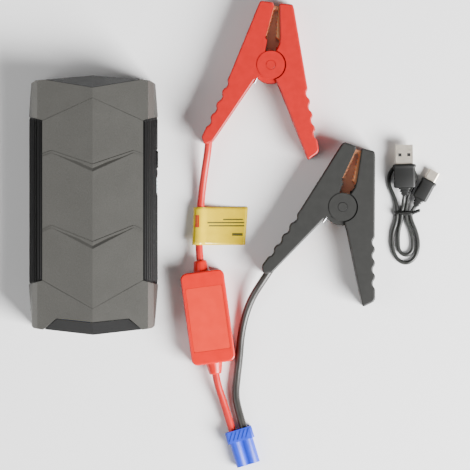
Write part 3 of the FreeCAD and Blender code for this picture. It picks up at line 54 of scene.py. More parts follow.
# %% Camera
VIEW_MIDDLE = Vector((98.9, -20.8, 15)) * MM
VIEW_WIDTH = 329 * MM
CAMERA_RISE = 2.6
SENSOR_WIDE = 36
camera_data = bpy.data.cameras.new("overhead_camera")
camera_data.sensor_width = SENSOR_WIDE
camera_data.lens = SENSOR_WIDE * CAMERA_RISE / VIEW_WIDTH
camera_data.clip_end = 20
camera = bpy.data.objects.new("overhead_camera", camera_data)
camera.location = VIEW_MIDDLE + Vector((0, 0, CAMERA_RISE))
bpy.context.scene.collection.objects.link(camera)
bpy.context.scene.camera = camera
print(f"lens {camera_data.lens:.0f} mm")

# %% [markdown]
# ## Cables
# A cable is a fixed length of something springy, so each one is a single smooth curve. The curve
# is pulled towards its control points without touching them, which gives the lazy bends of a
# silicone lead. A mesh tube would need its own bends worked out. The curve's bevel is one metre
# deep, and each point's radius scales it down to half the cable's thickness, so that the box
# Blender reports for the curve, which counts those radii, is the cable's own.

# %% Cable helper
def add_line(data, route, thickness):
    """Make a curve one round NURBS line; route and thickness are in millimetres."""
    data.dimensions = "3D"
    data.bevel_depth = 1
    line = data.splines.new("NURBS")
    line.points.add(len(route) - 1)
    for point, place in zip(line.points, route):
        point.co = (*(Vector(place) * MM), 1)
        point.radius = thickness / 2 * MM
    line.order_u = 3
    line.use_endpoint_u = True


def cable(name, route, thickness, body):
    """A cable that stands for the engineering piece of the same name."""
    data = bpy.data.curves.new(name, "CURVE")
    data.bevel_resolution = 6
    data.resolution_u = 10
    add_line(data, route, thickness)
    made = bpy.data.objects.new(f"{name}_line", data)
    bpy.context.scene.collection.objects.link(made)
    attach(made, body)
    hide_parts(name)
    return made


# %% Routes of the four cables
RED_WIRE, BLACK_WIRE, CHARGE_WIRE = 5.2, 5.4, 2.7
RED_CLAMP_ROUTE = [
    (80.6, 45.8, 10), (79.8, 37.5, 10), (78.0, 26.5, 7.4), (76.4, 15.0, 4.8),
    (74.9, 2.0, 3.75), (73.8, -14.5, 4.9), (73.49, -32.43, 7.5), (75.39, -46.3, 7.5)]
RED_PLUG_ROUTE = [
    (84.21, -110.7, 7.5), (85.97, -123.5, 7.5), (89.9, -135.5, 5.4), (93.66, -147.1, 4.6),
    (97.12, -158.56, 4.6)]
BLACK_ROUTE = [
    (123.8, -44.8, 10), (117.6, -53.9, 10), (110.6, -65.0, 6.8), (105.8, -78.0, 3.8),
    (102.9, -92.5, 2.8), (101.9, -107.5, 2.8), (100.2, -121.5, 2.8), (99.0, -133.8, 3.8),
    (101.5, -144.9, 4.6), (104.88, -156.24, 4.6)]
CHARGE_ROUTE = [
    (217.7, 6.7, 6.8), (217.4, 3.2, 6.6), (216.8, -0.8, 3.4), (216.2, -5.0, 1.9),
    (216.0, -10.5, 1.6), (213.9, -18.0, 1.4), (213.6, -25.5, 1.4), (214.2, -32.4, 1.4),
    (219.0, -35.6, 1.4), (223.8, -32.4, 1.4), (224.3, -25.5, 1.4), (222.7, -18.0, 1.4),
    (219.5, -10.5, 1.6), (219.2, -2.0, 1.9),
    (220.7, 7.0, 1.4), (224.4, 14.0, 1.4), (226.6, 21.0, 1.4), (222.3, 28.0, 1.4),
    (213.5, 28.6, 1.4), (207.6, 23.6, 1.4), (206.8, 14.6, 1.4), (211.0, 6.4, 1.4),
    (213.1, -2.2, 1.9), (212.8, -11.0, 1.6), (209.6, -19.5, 1.4), (209.4, -30.0, 1.4),
    (213.0, -38.4, 1.4), (219.4, -41.2, 1.4), (225.6, -37.4, 1.4), (228.4, -28.5, 1.4),
    (226.6, -18.5, 1.4), (222.9, -10.6, 1.6), (222.3, -5.0, 1.9), (225.69, -0.46, 3.2)]

# %% Lay the cables
red_upper = cable("red_cable_clamp_side", RED_CLAMP_ROUTE, RED_WIRE, "lead_set")
red_lower = cable("red_cable_plug_side", RED_PLUG_ROUTE, RED_WIRE, "lead_set")
black_cable = cable("black_cable", BLACK_ROUTE, BLACK_WIRE, "lead_set")
charge_cable = cable("charge_cable", CHARGE_ROUTE, CHARGE_WIRE, "charge_lead")
for made in (red_upper, red_lower, black_cable, charge_cable):
    length = made.data.splines[0].calc_length() / MM
    print(f"{made.name}: {length:.0f} mm")

# %% [markdown]
# ## Colour and node helpers
# Hex colours are written for screens, and the renderer works in linear light, so one function
# turns the first into the second. One more function adds a node with its settings and its inputs.
# Noise seldom leaves the middle of its range, so only that middle is spread over the two ends of
# a colour or a roughness.

# %% Helpers
COLOUR_FROM, COLOUR_TO = 0.35, 0.65
ROUGHNESS_FROM, ROUGHNESS_TO = 0.3, 0.7


def linear(code):
    """An sRGB hex code as linear RGBA."""
    parts_of_code = [int(code[start:start + 2], 16) / 255 for start in (0, 2, 4)]
    return [c / 12.92 if c <= 0.04045 else ((c + 0.055) / 1.055) ** 2.4
            for c in parts_of_code] + [1]


def add_node(tree, kind, inputs=None, **settings):
    """Add a node, set its properties, and give its inputs values or links."""
    made = tree.nodes.new(f"ShaderNode{kind}")
    for name, value in settings.items():
        setattr(made, name, value)
    for name, value in (inputs or {}).items():
        if isinstance(value, bpy.types.NodeSocket):
            tree.links.new(value, made.inputs[name])
        else:
            made.inputs[name].default_value = value
    return made


def surface(name, colour, **values):
    """A material with one Principled shader; values go on the shader's own sockets."""
    made = bpy.data.materials.new(name)
    made.use_nodes = True
    shader = made.node_tree.nodes["Principled BSDF"]
    shader.inputs["Base Color"].default_value = linear(colour)
    for socket, value in values.items():
        shader.inputs[socket.replace("_", " ")].default_value = value
    return made


def place_of(tree):
    """Where a point is on its piece, in metres."""
    return add_node(tree, "TexCoord").outputs["Object"]


def noise(tree, size_mm, **inputs):
    """Noise whose grains are about size_mm across, from 0 to 1."""
    sockets = {"Vector": place_of(tree), "Scale": 1 / (size_mm * MM), "Detail": 3, **inputs}
    return add_node(tree, "TexNoise", sockets).outputs["Fac"]


def vary_colour(made, factor, low, high):
    """Run the base colour from low to high with factor."""
    tree = made.node_tree
    ramp = add_node(tree, "ValToRGB", {"Fac": factor})
    stops = ramp.color_ramp.elements
    for stop, position, code in zip(stops, (COLOUR_FROM, COLOUR_TO), (low, high)):
        stop.position = position
        stop.color = linear(code)
    tree.links.new(ramp.outputs["Color"], tree.nodes["Principled BSDF"].inputs["Base Color"])


def vary_roughness(made, factor, low, high):
    """Run the roughness from low to high with factor."""
    tree = made.node_tree
    spread = add_node(tree, "MapRange", {
        "Value": factor, "From Min": ROUGHNESS_FROM, "From Max": ROUGHNESS_TO,
        "To Min": low, "To Max": high})
    tree.links.new(spread.outputs["Result"], tree.nodes["Principled BSDF"].inputs["Roughness"])


def emboss(made, height, depth_mm):
    """Bump whose full height is depth_mm."""
    tree = made.node_tree
    bump = add_node(tree, "Bump", {"Height": height, "Distance": depth_mm * MM, "Strength": 1})
    tree.links.new(bump.outputs["Normal"], tree.nodes["Principled BSDF"].inputs["Normal"])


def dress(made, *names):
    """Give a material to the named engineering pieces."""
    for name in names:
        piece = parts[name]
        piece.data.materials.clear()
        piece.data.materials.append(made)
    print(f"{made.name} on {', '.join(names)}")


# %% [markdown]
# ## Case: satin metallic paint on ABS
# The covers and the panel are moulded ABS, sprayed with a grey paint that carries fine metal
# flakes. To the eye that is a soft sheen that changes slowly with the angle, with a faint
# sparkle. Real flakes are a few hundredths of a millimetre, far too fine to show, so the grain
# here is drawn at 0.5 mm.

# %% Case paint
# Gives the eye a soft grey sheen, brighter on the facets that face the key light.
case_paint = surface("satin_metallic_paint", "605F5B", Metallic=0.7, Roughness=0.42)
tree = case_paint.node_tree
flakes = noise(tree, 0.5, Detail=2)
vary_colour(case_paint, flakes, "5C5B57", "656460")
vary_roughness(case_paint, noise(tree, 14), 0.4, 0.43)
emboss(case_paint, noise(tree, 0.5), 0.005)
dress(case_paint, "top_cover", "bottom_cover", "chevron_panel")

# %% [markdown]
# ## Dark trim
# The side grips are ribbed rubber, the port cover is a softer rubber, and the torch window is
# smoked polycarbonate. All three could be one plain black. They are kept apart because they
# differ in how they shine: the rubbers are dull, and the window keeps a faint soft gleam. Their
# colours are nearer black than the bare materials are, and their specular level is set well below
# the usual 0.5. Neither is a typical value. Both keep the trim dark under a large soft light, and
# in other light they may look too dull.

# %% Dark trim
# Dull black that shows its ribs only by their shadows.
grip_rubber = surface("moulded_grip_rubber", "030303", Roughness=0.6,
                      Specular_IOR_Level=0.25)
vary_colour(grip_rubber, noise(grip_rubber.node_tree, 3), "020202", "040404")
emboss(grip_rubber, noise(grip_rubber.node_tree, 0.6), 0.03)
dress(grip_rubber, "side_grip_left", "side_grip_right")

# A little greyer and rougher than the grips.
cover_rubber = surface("port_cover_rubber", "040404", Roughness=0.75,
                       Specular_IOR_Level=0.25)
vary_colour(cover_rubber, noise(cover_rubber.node_tree, 4), "030303", "050505")
emboss(cover_rubber, noise(cover_rubber.node_tree, 0.5), 0.02)
dress(cover_rubber, "port_cover", "power_button")

# Black, and smoother than the rubbers, with a weak reflection.
smoked_window = surface("smoked_polycarbonate", "0C0D0B", Roughness=0.3, IOR=1.58,
                       Specular_IOR_Level=0.12)
vary_roughness(smoked_window, noise(smoked_window.node_tree, 8), 0.26, 0.34)
dress(smoked_window, "torch_window")

# %% [markdown]
# ## Clamp handles
# Both pairs of handles are glass-filled nylon from a spark-eroded mould, so the surface is finely
# pitted and only a little shiny. The pits could be cut into the mesh, but bump is enough for
# something so shallow. Real pits are about a tenth of a millimetre, too fine to show, so they are
# drawn at 0.45 mm.

# %% Clamp handles
# A warm, solid red with a broad dull highlight.
red_nylon = surface("red_textured_nylon", "AE0806", Roughness=0.42)
vary_colour(red_nylon, noise(red_nylon.node_tree, 5), "AA0604", "B20A08")
emboss(red_nylon, noise(red_nylon.node_tree, 0.45), 0.03)
# A warm dark grey rather than black, duller than the red.
black_nylon = surface("black_textured_nylon", "20201D", Roughness=0.5)
vary_colour(black_nylon, noise(black_nylon.node_tree, 5), "1E1E1C", "222220")
emboss(black_nylon, noise(black_nylon.node_tree, 0.45), 0.03)
for colour, nylon in (("red", red_nylon), ("black", black_nylon)):
    dress(nylon, f"{colour}_fixed_handle", f"{colour}_moving_handle", f"{colour}_pivot_pin")

# %% [markdown]
# ## Metals
# The jaws and the cable lugs are copper-plated steel, the clamp springs are drawn spring wire,
# the socket contacts are brass and the USB shells are nickel-plated steel. Only colour and
# roughness tell them apart, and a little noise in the roughness keeps them from looking perfect.

# %% Metals
# Copper plate is a soft, half-matt orange pink inside each clamp, and spring wire a cool grey.
METALS = [
    ("copper_plate", "F2A87C", 0.4, ("fixed_jaw", "moving_jaw", "cable_lug")),
    ("spring_wire", "C4C4C6", 0.35, ("spring",)),
]
for name, colour_code, rough, kinds in METALS:
    metal = surface(name, colour_code, Metallic=1, Roughness=rough)
    vary_roughness(metal, noise(metal.node_tree, 1.5), rough - 0.08, rough + 0.1)
    dress(metal, *(f"{colour}_{kind}" for colour in ("red", "black") for kind in kinds))
# Yellow metal, seen deep inside the plug's two bores.
brass = surface("turned_brass", "D8B25A", Metallic=1, Roughness=0.28)
vary_roughness(brass, noise(brass.node_tree, 1), 0.22, 0.36)
dress(brass, "socket_pins", "plug_contacts")
# Warm, softly reflecting silver, for the USB shells and ports and the bus bars.
nickel = surface("nickel_plated_steel", "EEE4D4", Metallic=1, Roughness=0.42)
vary_roughness(nickel, noise(nickel.node_tree, 1.2), 0.38, 0.48)
dress(nickel, "usb_a_port", "usb_c_port", "usb_a_shell", "usb_c_shell", "bus_negative",
      "bus_positive")
# Cool silver, for the screws.
zinc = surface("zinc_plated_steel", "B4B6BA", Metallic=1, Roughness=0.35)
vary_roughness(zinc, noise(zinc.node_tree, 1), 0.28, 0.42)
dress(zinc, "case_screws", "board_screws")

# %% [markdown]
# ## Cable skins and in-line module
# Silicone insulation has a soft sheen and is never quite one colour. The module is a smoother box
# of ABS in nearly the same red, and its label plate is a shade lighter. Each gets its own
# material, since the same pigment looks different in silicone, in ABS and printed on film.

# %% Cable skins and module
# A fresh red with one soft line of light along the cable.
red_silicone = surface("red_silicone", "C00A04", Roughness=0.42)
vary_colour(red_silicone, noise(red_silicone.node_tree, 6), "BC0802", "C40C06")
emboss(red_silicone, noise(red_silicone.node_tree, 0.6), 0.02)
# Near black, with a clearer line of light than the red has.
black_silicone = surface("black_silicone", "2B2926", Roughness=0.36)
vary_colour(black_silicone, noise(black_silicone.node_tree, 6), "272522", "302D2A")
emboss(black_silicone, noise(black_silicone.node_tree, 0.6), 0.02)
for made, skin in ((red_upper, red_silicone), (red_lower, red_silicone),
                   (black_cable, black_silicone)):
    made.data.materials.append(skin)

# The smoothest of the reds.
module_abs = surface("red_module_abs", "CA1006", Roughness=0.32)
vary_colour(module_abs, noise(module_abs.node_tree, 7), "C60E04", "CE1208")
emboss(module_abs, noise(module_abs.node_tree, 0.7), 0.02)
dress(module_abs, "module_lower_shell", "module_upper_shell")
# A lighter, slightly orange red, so that the plate stands out from its box.
label_film = surface("module_label_film", "D42816", Roughness=0.34)
vary_colour(label_film, noise(label_film.node_tree, 9), "D02614", "D82A18")
dress(label_film, "module_label")

# %% [markdown]
# ## Plug, tag and USB lead
# The plug is blue nylon, the tag a printed polyester film, the USB grips a thermoplastic
# elastomer moulded over the soldered ends, and the charging cable has a PVC skin.

plug_nylon = surface("blue_plug_nylon", "1938BF", Roughness=0.42)
vary_colour(plug_nylon, noise(plug_nylon.node_tree, 4), "1735B9", "1B3BC5")
emboss(plug_nylon, noise(plug_nylon.node_tree, 0.5), 0.02)
dress(plug_nylon, "plug_housing", "battery_socket")
# Bright yellow and smooth, so that it shines where it curls round the cable.
tag_film = surface("yellow_tag_film", "D0B200", Roughness=0.22)
vary_colour(tag_film, noise(tag_film.node_tree, 6), "CCAE00", "D4B602")
# Black and half matt.
grip_tpe = surface("usb_grip_elastomer", "040403", Roughness=0.5)
vary_colour(grip_tpe, noise(grip_tpe.node_tree, 3), "030403", "050503")
emboss(grip_tpe, noise(grip_tpe.node_tree, 0.4), 0.02)
# Dark grey, and shinier than the grips.
wire_pvc = surface("charge_cable_pvc", "2B2C2A", Roughness=0.35)
vary_colour(wire_pvc, noise(wire_pvc.node_tree, 3), "272826", "30312F")
charge_cable.data.materials.append(wire_pvc)
# The dark tongue that shows through the shell's two windows.
tongue_nylon = surface("usb_tongue_nylon", "1E1F20", Roughness=0.5)
vary_colour(tongue_nylon, noise(tongue_nylon.node_tree, 1), "1B1C1D", "222324")
dress(tongue_nylon, "usb_tongues")

# %% [markdown]
# ## Inner pieces
# Nearly all of these are seen only when the case or the module is opened, so each has one pair of
# colours and one roughness: green laminate, black epoxy, foil pouches, foam, a mirror-like
# reflector, and the pale acrylic that carries the charge lights out to the case's side.

# %% Inner pieces
# Name, darker and lighter colour, roughness, metallic share, grain in mm, and its pieces.
INNER = [
    ("circuit_board_laminate", "1F5B36", "2B6B42", 0.4, 0, 1.5,
     ("main_board", "side_board", "torch_board", "module_board")),
    ("component_epoxy", "1E1E1E", "2A2A2A", 0.45, 0, 0.8,
     ("board_parts", "button_switch", "module_relay")),
    ("battery_foil", "B4B6B8", "C6C8CA", 0.38, 0.8, 6,
     ("battery_cell_1", "battery_cell_2", "battery_cell_3")),
    ("grey_foam", "505050", "686866", 0.9, 0, 0.6, ("cell_foam",)),
    ("metallised_reflector", "D8DADC", "E6E8EA", 0.12, 1, 2, ("torch_reflector",)),
    ("light_guide_acrylic", "E2EEF2", "F0F8FA", 0.15, 0, 2, ("charge_light_guide",)),
]
for name, low, high, rough, metal_part, grain, names in INNER:
    made = surface(name, low, Roughness=rough, Metallic=metal_part)
    vary_colour(made, noise(made.node_tree, grain), low, high)
    dress(made, *names)

# %% [markdown]
# ## Rounded edges
# No moulded edge is perfectly sharp: each has a radius of a few tenths of a millimetre, and it
# catches the light as a fine bright line. A bevel after a weld rounds every edge that turns by
# more than 40 degrees. The chevron panel keeps its own edges, because a bevel puts false shading
# on its shallow facets.

# %% Rounded edges
# The radii are in millimetres and the angle in degrees.
ROUNDED_FROM = 40
EDGE_RADII = {"top_cover": 0.3, "port_cover": 0.4, "torch_window": 0.2, "plug_housing": 0.3,
              "power_button": 0.2, "module_upper_shell": 0.5}
for name, radius in EDGE_RADII.items():
    weld = parts[name].modifiers.new("weld", "WELD")
    weld.merge_threshold = 0.001 * MM
    bevel = parts[name].modifiers.new("rounded_edges", "BEVEL")
    bevel.width = radius * MM
    bevel.segments = 2
    bevel.limit_method = "ANGLE"
    bevel.angle_limit = math.radians(ROUNDED_FROM)
    bevel.harden_normals = True
print(len(EDGE_RADII), "pieces have rounded edges")

# %% [markdown]
# ## Ribs on the side grips
# The rubber grips carry fine ribs that run the whole length of the case, so that it can be held
# with wet hands. A rib has to follow the skin of the grip and stop at the button and the lights,
# so the skin is found by casting rays at it, and each unbroken stretch gets one half-round rib.
# The rays turn down round the grip a little at a time, and a rib is laid whenever they have
# walked one rib pitch over the skin.

# %% Mesh helpers
def new_piece(name, points, faces, body, material):
    """A smooth-shaded mesh piece; points are in millimetres."""
    data = bpy.data.meshes.new(name)
    data.from_pydata([Vector(point) * MM for point in points], [], faces)
    data.update()
    made = bpy.data.objects.new(name, data)
    bpy.context.scene.collection.objects.link(made)
    data.materials.append(material)
    for face in data.polygons:
        face.use_smooth = True
    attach(made, body)
    return made


def skin_tree(name):
    """A search tree of one engineering piece's surface."""
    data = parts[name].data
    return BVHTree.FromPolygons([v.co for v in data.vertices], [p.vertices for p in data.polygons])


def grid_faces(rows, columns, closed=False):
    """Quads between neighbouring rows of points; closed joins each row's end to its start."""
    faces = []
    for row in range(rows - 1):
        for column in range(columns - (not closed)):
            after = (column + 1) % columns
            faces.append((row * columns + column, row * columns + after,
                          (row + 1) * columns + after, (row + 1) * columns + column))
    return faces


# %% Grip ribs
RIB_PITCH, RIB_WIDE, RIB_HIGH = 1.9, 1.0, 0.45
RIB_SHAPE = [(-0.5, -0.4), (-0.42, 0.45), (-0.2, 0.95), (0.2, 0.95), (0.42, 0.45), (0.5, -0.4)]
TIP_LONG, TIP_HIGH = 0.6, 0.2
LOWEST_RIB, SHORTEST_RIB = 11, 4
CORE_OUT, CORE_UP, RAY_LONG = 27, 18, 40
FIRST_ANGLE, ANGLE_STEP, ANGLE_STEPS = 88, 0.35, 400
WALK_FROM, WALK_TO, WALK_STEP = -118, 128, 0.5
CLEAN_PLACE = -40
SAME_SKIN = 0.25


def grip_skin(tree, side, angle, along):
    """The grip's outer skin point and normal seen from outside at this angle."""
    middle = Vector((side * CORE_OUT, along, CORE_UP)) * MM
    out = Vector((side * math.cos(angle), 0, math.sin(angle)))
    hit, normal, _, _ = tree.ray_cast(middle + out * RAY_LONG * MM, -out, RAY_LONG * MM)
    return (hit / MM, normal) if hit else (None, None)


def rib_stretches(tree, side, angle, skin):
    """Unbroken stretches of skin along the case at one angle."""
    stretches, start = [], None
    for step in range(WALK_FROM, WALK_TO):
        along = step * WALK_STEP
        hit, _ = grip_skin(tree, side, angle, along)
        here = hit is not None and math.hypot(hit.x - skin.x, hit.z - skin.z) < SAME_SKIN
        if here and start is None:
            start = along
        if not here and start is not None:
            stretches.append((start + TIP_LONG, along - TIP_LONG - WALK_STEP))
            start = None
    return [ends for ends in stretches if ends[1] - ends[0] > SHORTEST_RIB]


for hand, side in (("left", -1), ("right", 1)):
    tree = skin_tree(f"side_grip_{hand}")
    points, faces = [], []
    walked, last, ribs = RIB_PITCH / 2, None, 0
    for step in range(ANGLE_STEPS):
        angle = math.radians(FIRST_ANGLE - step * ANGLE_STEP)
        skin, normal = grip_skin(tree, side, angle, CLEAN_PLACE)
        if skin is None or skin.z < LOWEST_RIB:
            continue
        walked += (skin - last).length if last else 0
        last = skin
        if walked < RIB_PITCH:
            continue
        walked -= RIB_PITCH
        across = Vector((-normal.z, 0, normal.x)) * RIB_WIDE
        for low, high in rib_stretches(tree, side, angle, skin):
            first = len(points)
            for along, scale in ((low, TIP_HIGH), (low + TIP_LONG, 1),
                                 (high - TIP_LONG, 1), (high, TIP_HIGH)):
                base = Vector((skin.x, along, skin.z))
                points += [base + across * x + normal * (z * RIB_HIGH if z < 0 else
                                                         z * RIB_HIGH * scale)
                           for x, z in RIB_SHAPE]
            faces += [tuple(first + index for index in face)
                      for face in grid_faces(4, len(RIB_SHAPE), closed=True)]
            faces += [tuple(first + index for index in range(len(RIB_SHAPE))),
                      tuple(first + 3 * len(RIB_SHAPE) + index
                            for index in reversed(range(len(RIB_SHAPE))))]
            ribs += 1
    new_piece(f"grip_ribs_{hand}", points, faces, "power_unit", grip_rubber)
    print(hand, "grip:", ribs, "ribs")

# %% [markdown]
# ## Strain reliefs and plug grips
# These are soft mouldings with rounded corners and ribs. They could be boxes with bevels, but
# their outline swells and narrows along the cable, so each one is a loft: a row of rounded
# rectangles, each with its own width, height and place along the cable.

# %% Loft helper
CORNER_STEPS = 5
SHARP_FROM = 38


def rounded_rectangle(wide, tall, corner):
    """Points of a rounded rectangle about its middle, going round once."""
    points = []
    for turn, (sx, sz) in enumerate(((1, 1), (-1, 1), (-1, -1), (1, -1))):
        for step in range(CORNER_STEPS + 1):
            angle = math.pi / 2 * (turn + step / CORNER_STEPS)
            points.append((sx * (wide / 2 - corner) + corner * math.cos(angle),
                           sz * (tall / 2 - corner) + corner * math.sin(angle)))
    return points


def loft(name, sections, place, turn, body, material):
    """Join sections (along, wide, tall, corner) into one closed piece and put it in place."""
    matrix = Matrix.Translation(place) @ Matrix.Rotation(math.radians(turn), 4, "Z")
    points = [matrix @ Vector((x, along, z)) for along, wide, tall, corner in sections
              for x, z in rounded_rectangle(wide, tall, corner)]
    columns = len(points) // len(sections)
    faces = grid_faces(len(sections), columns, closed=True)
    faces += [tuple(range(columns)), tuple(range(len(points) - columns, len(points)))[::-1]]
    made = new_piece(name, points, faces, body, material)
    normals = bmesh.new()
    normals.from_mesh(made.data)
    bmesh.ops.recalc_face_normals(normals, faces=normals.faces)
    normals.to_mesh(made.data)
    edges = made.modifiers.new("smooth_by_angle", "EDGE_SPLIT")
    edges.split_angle = math.radians(SHARP_FROM)
    print(f"{name}: {len(sections)} sections")
    return made


# %% Module boots
MODULE_PLACE, MODULE_TURN, MODULE_LONG = (79.8, -78.5, 7.5), 7.8, 65
BOOT = [(0, 11.6), (0.8, 11.3), (2.5, 10.6), (4.6, 9.8), (6.2, 9.2), (7.1, 8.7), (7.6, 7.9),
        (7.8, 6.6)]
for end, side in (("clamp_side", 1), ("plug_side", -1)):
    sections = [(side * (MODULE_LONG / 2 + along), wide, wide, wide / 2 - 0.01)
                for along, wide in BOOT]
    loft(f"module_boot_{end}", sections, MODULE_PLACE, MODULE_TURN, "lead_set",
                      module_abs)
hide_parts("module_boots")

# %% USB grips
def ribbed(start, count, pitch, wide, narrow, tall):
    """A strain relief of stacked ribs that get smaller from start towards the cable."""
    sections = []
    for number in range(count):
        shrink = 1 - 0.16 * number
        low = start - number * pitch
        for along, size in ((low, wide), (low - pitch * 0.55, wide * 0.97),
                            (low - pitch * 0.6, narrow), (low - pitch * 0.98, narrow)):
            sections.append((along, size * shrink, min(tall, size * 0.7) * shrink,
                             min(tall, size * 0.7) * shrink * 0.3))
    return sections[::-1]


USB_A_SECTIONS = ribbed(0, 3, 1.8, 8.6, 6.2, 6.6) + [
    (0.1, 13.6, 6.0, 1.4), (0.5, 14.8, 7.0, 1.7), (1.4, 15.4, 7.4, 1.8), (9.0, 15.2, 7.4, 1.8),
    (13.4, 14.9, 7.3, 1.7), (14.2, 15.0, 7.3, 1.7), (14.6, 15.9, 7.4, 1.6), (15.7, 16.2, 7.4, 1.6),
    (16.3, 15.8, 7.2, 1.6), (16.7, 14.6, 6.4, 1.4)]
usb_a = loft("usb_a_overmould", USB_A_SECTIONS, (218.1, 12.2, 6.8), 1, "charge_lead", grip_tpe)
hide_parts("usb_a_grip")
USB_C_SECTIONS = ribbed(0, 3, 1.8, 7.0, 5.0, 5.6) + [
    (0.1, 9.0, 5.0, 1.3), (0.5, 10.0, 5.8, 1.6), (1.4, 10.6, 6.2, 1.8), (8.0, 10.5, 6.2, 1.8),
    (12.2, 10.2, 6.1, 1.7), (13.0, 10.4, 6.2, 1.7), (13.5, 11.1, 6.3, 1.6), (14.4, 11.3, 6.3, 1.6),
    (15.0, 10.8, 6.0, 1.6), (15.3, 9.8, 5.2, 1.4)]
usb_c = loft("usb_c_overmould", USB_C_SECTIONS, (228.35, 4.35, 3.2), -29, "charge_lead", grip_tpe)
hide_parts("usb_c_grip")

# %% [markdown]
# ## Cable tie
# A twist tie is one plastic-coated wire that goes round the bundle twice and is then twisted
# together. A flat band would be simpler, but the twisted end is what shows, so it is drawn as
# that one wire: a tail, two turns, and the other tail, which spins round the first.

# %% Cable tie
TIE_MIDDLE, TIE_HALF_WIDE, TIE_HALF_HIGH, TIE_WIRE = Vector((217.7, -5.6, 2.7)), 6.3, 1.9, 1.5
TURN_STEPS, TURN_STEP = 37, 20
TAIL_STEPS, TAIL_SPIN, TAIL_RADIUS = 14, 0.95, 0.6


def squared(wave):
    """Push a sine or cosine outward, so that a circle becomes a rounded box."""
    return math.copysign(abs(wave) ** 0.6, wave)


tie_route = []
for step in range(TURN_STEPS):
    angle = math.radians(TURN_STEP + step * TURN_STEP)
    bulge = Vector((squared(math.cos(angle)) * TIE_HALF_WIDE,
                    0.9 * math.sin(step * 0.55) - 0.5 + step * 0.03,
                    squared(math.sin(angle)) * TIE_HALF_HIGH))
    tie_route.append(TIE_MIDDLE + bulge)
for phase in (0, math.pi):
    tail = []
    for step in range(TAIL_STEPS):
        spin = phase + step * TAIL_SPIN
        along = TIE_MIDDLE + Vector((6.2 + step * 0.36, 0.3 + step * 0.14, 0.5))
        tail.append(along + Vector((0, math.cos(spin), math.sin(spin))) * TAIL_RADIUS)
    tie_route = tie_route + tail if phase == 0 else tail[::-1] + tie_route
tie_data = bpy.data.curves.new("cable_tie_wire", "CURVE")
tie_data.bevel_resolution = 3
tie_data.use_fill_caps = True
add_line(tie_data, tie_route, TIE_WIRE)
tie_data.materials.append(grip_tpe)
tie = bpy.data.objects.new("cable_tie_wire", tie_data)
bpy.context.scene.collection.objects.link(tie)
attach(tie, "charge_lead")
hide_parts("cable_tie")
print("tie:", len(tie_route), "points")

# %% [markdown]
# ## Tag
# The tag is a strip of printed film, folded round the cable and laid on itself, so it makes a flag
# with a loose loop. A cloth simulation could drape it, but a cross-section that changes a little
# along the cable is steadier. Its print is left as plain bars.

# %% Tag film
TAG_HIGH, TAG_LOW = Vector((74.62, -1.2, 4.05)), Vector((73.52, -27.8, 6.8))
TAG_LOOP, FILM = 3.5, 0.14
FREE_EDGE, EDGE_LEAN, LOOP_SIDE = 108.0, 2.0, 3.4
FLAP_STEPS, LOOP_STEPS = 14, 13
LOOP_FROM, LOOP_STEP = 38, 23.5


def flap(core, wide, ripple, part, rest, rise):
    """A flap's point; part is 0 at the free edge and 1 where the flap meets the loop."""
    sag = (1 - part) ** 2
    return (wide + (core.x + LOOP_SIDE - wide) * part,
            rest + 0.25 * ripple * math.sin(part * 3) + part ** 2.2 * core.z * rise + sag * 0.2)


def tag_outline(share):
    """The film's cross-section round the cable at one share of the tag's length."""
    core = TAG_HIGH.lerp(TAG_LOW, share)
    wide = FREE_EDGE - EDGE_LEAN * share
    ripple = 0.5 * math.sin(share * 5 + 0.6)
    outline = [flap(core, wide, ripple, step / FLAP_STEPS, 0.75, 0.85)
               for step in range(FLAP_STEPS + 1)]
    for step in range(LOOP_STEPS):
        angle = math.radians(LOOP_FROM + step * LOOP_STEP)
        outline.append((core.x - 0.4 + (TAG_LOOP + 0.9 * (angle > 1.2)) * math.cos(angle),
                        core.z + TAG_LOOP * math.sin(angle) * (0.95 if math.sin(angle) > 0 else
                                                               min(1, (core.z - 0.4) / TAG_LOOP))))
    outline += [flap(core, wide, ripple, 1 - step / FLAP_STEPS, 0.5, 0.45)
                for step in range(FLAP_STEPS + 1)]
    return [(x, core.y, z) for x, z in outline]


TAG_ROWS = 15
tag_points = [point for row in range(TAG_ROWS) for point in tag_outline(row / (TAG_ROWS - 1))]
tag = new_piece("warning_tag_film", tag_points, grid_faces(TAG_ROWS, len(tag_points) // TAG_ROWS),
                "lead_set", tag_film)
thick = tag.modifiers.new("film_thickness", "SOLIDIFY")
thick.thickness = FILM * MM
thick.offset = 0
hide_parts("warning_tag")
print("tag:", len(tag_points), "points")

# %% Plain printed bars
# Both inks are duller than the film, so that they read as print and not as parts of it.
INK_THICK, CAST_FROM = 0.03, 30
print_grey = surface("tag_ink", "4A4610", Roughness=0.4)
vary_colour(print_grey, noise(print_grey.node_tree, 0.8), "443F0E", "504C14")
print_red = surface("tag_red_ink", "B02A08", Roughness=0.4)
vary_colour(print_red, noise(print_red.node_tree, 1), "A82606", "B62E0A")
tag_tree = BVHTree.FromPolygons([Vector(p) for p in tag_points],
                                grid_faces(TAG_ROWS, len(tag_points) // TAG_ROWS))


def printed_bar(name, left, right, top, high, material):
    """A flat bar of ink lying on the film."""
    columns = 12
    points = []
    for y in (top, top - high):
        for step in range(columns):
            x = left + (right - left) * step / (columns - 1)
            hit = tag_tree.ray_cast(Vector((x, y, CAST_FROM)), Vector((0, 0, -1)))[0]
            points.append((x, y, hit.z + FILM / 2 + INK_THICK))
    return new_piece(name, points, grid_faces(2, columns), "lead_set", material)


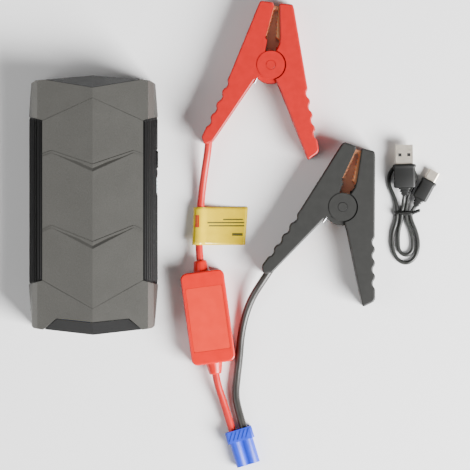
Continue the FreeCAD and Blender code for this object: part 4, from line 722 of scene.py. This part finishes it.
INK_ROWS = [(90.5, 104.5, -9.4, 1.0), (79.5, 105.5, -11.6, 1.0), (80.5, 105.5, -13.8, 1.0),
            (96.8, 104.3, -19.4, 1.9)]
for number, (left, right, top, high) in enumerate(INK_ROWS, start=1):
    printed_bar(f"tag_ink_row_{number}", left, right, top, high, print_grey)
printed_bar("tag_mark", 70.6, 73.8, -6.8, 8.6, print_red)
print(len(INK_ROWS) + 1, "printed bars")

# %% [markdown]
# A real cable bends wherever it is put, and this one keeps the shape it was drawn in.

# %% [markdown]
# ## Floor and light
# One lamp straight above would be simpler, but it flattens the case's shallow facets. So a large
# soft key light comes from low on the right, where facets and grooves show, and a weaker one
# fills in from the left. The surroundings are dim, which keeps the blacks black.

# %% Floor and light
# Nearly matt white, so that little but shadows shows on it.
floor_data = bpy.data.meshes.new("floor")
shape = bmesh.new()
bmesh.ops.create_grid(shape, x_segments=1, y_segments=1, size=4)
shape.to_mesh(floor_data)
floor = bpy.data.objects.new("floor", floor_data)
bpy.context.scene.collection.objects.link(floor)
floor_sheet = surface("white_sheet", "F4F4F4", Roughness=0.9)
floor_data.materials.append(floor_sheet)

world = bpy.data.worlds.new("studio")
world.use_nodes = True
world.node_tree.nodes["Background"].inputs["Color"].default_value = (1, 1, 1, 1)
world.node_tree.nodes["Background"].inputs["Strength"].default_value = 0.15
bpy.context.scene.world = world


def soft_light(name, place, aim, size, power):
    """A square lamp at a place in metres, turned towards aim."""
    data = bpy.data.lights.new(name, "AREA")
    data.shape = "SQUARE"
    data.size = size
    data.energy = power
    made = bpy.data.objects.new(name, data)
    made.location = place
    made.rotation_euler = (Vector(aim) - Vector(place)).to_track_quat("-Z", "Y").to_euler()
    bpy.context.scene.collection.objects.link(made)
    print(f"{name}: {power} W")


soft_light("key_light", (1.6, -1.0, 1.15), VIEW_MIDDLE, 1.2, 225)
soft_light("fill_light", (-1.5, -0.3, 1.5), VIEW_MIDDLE, 1.3, 24)

# %% [markdown]
# ## Finish
# The scene is brought up to date once more, so that every place and box is current.

# %% Finish
bpy.context.view_layer.update()
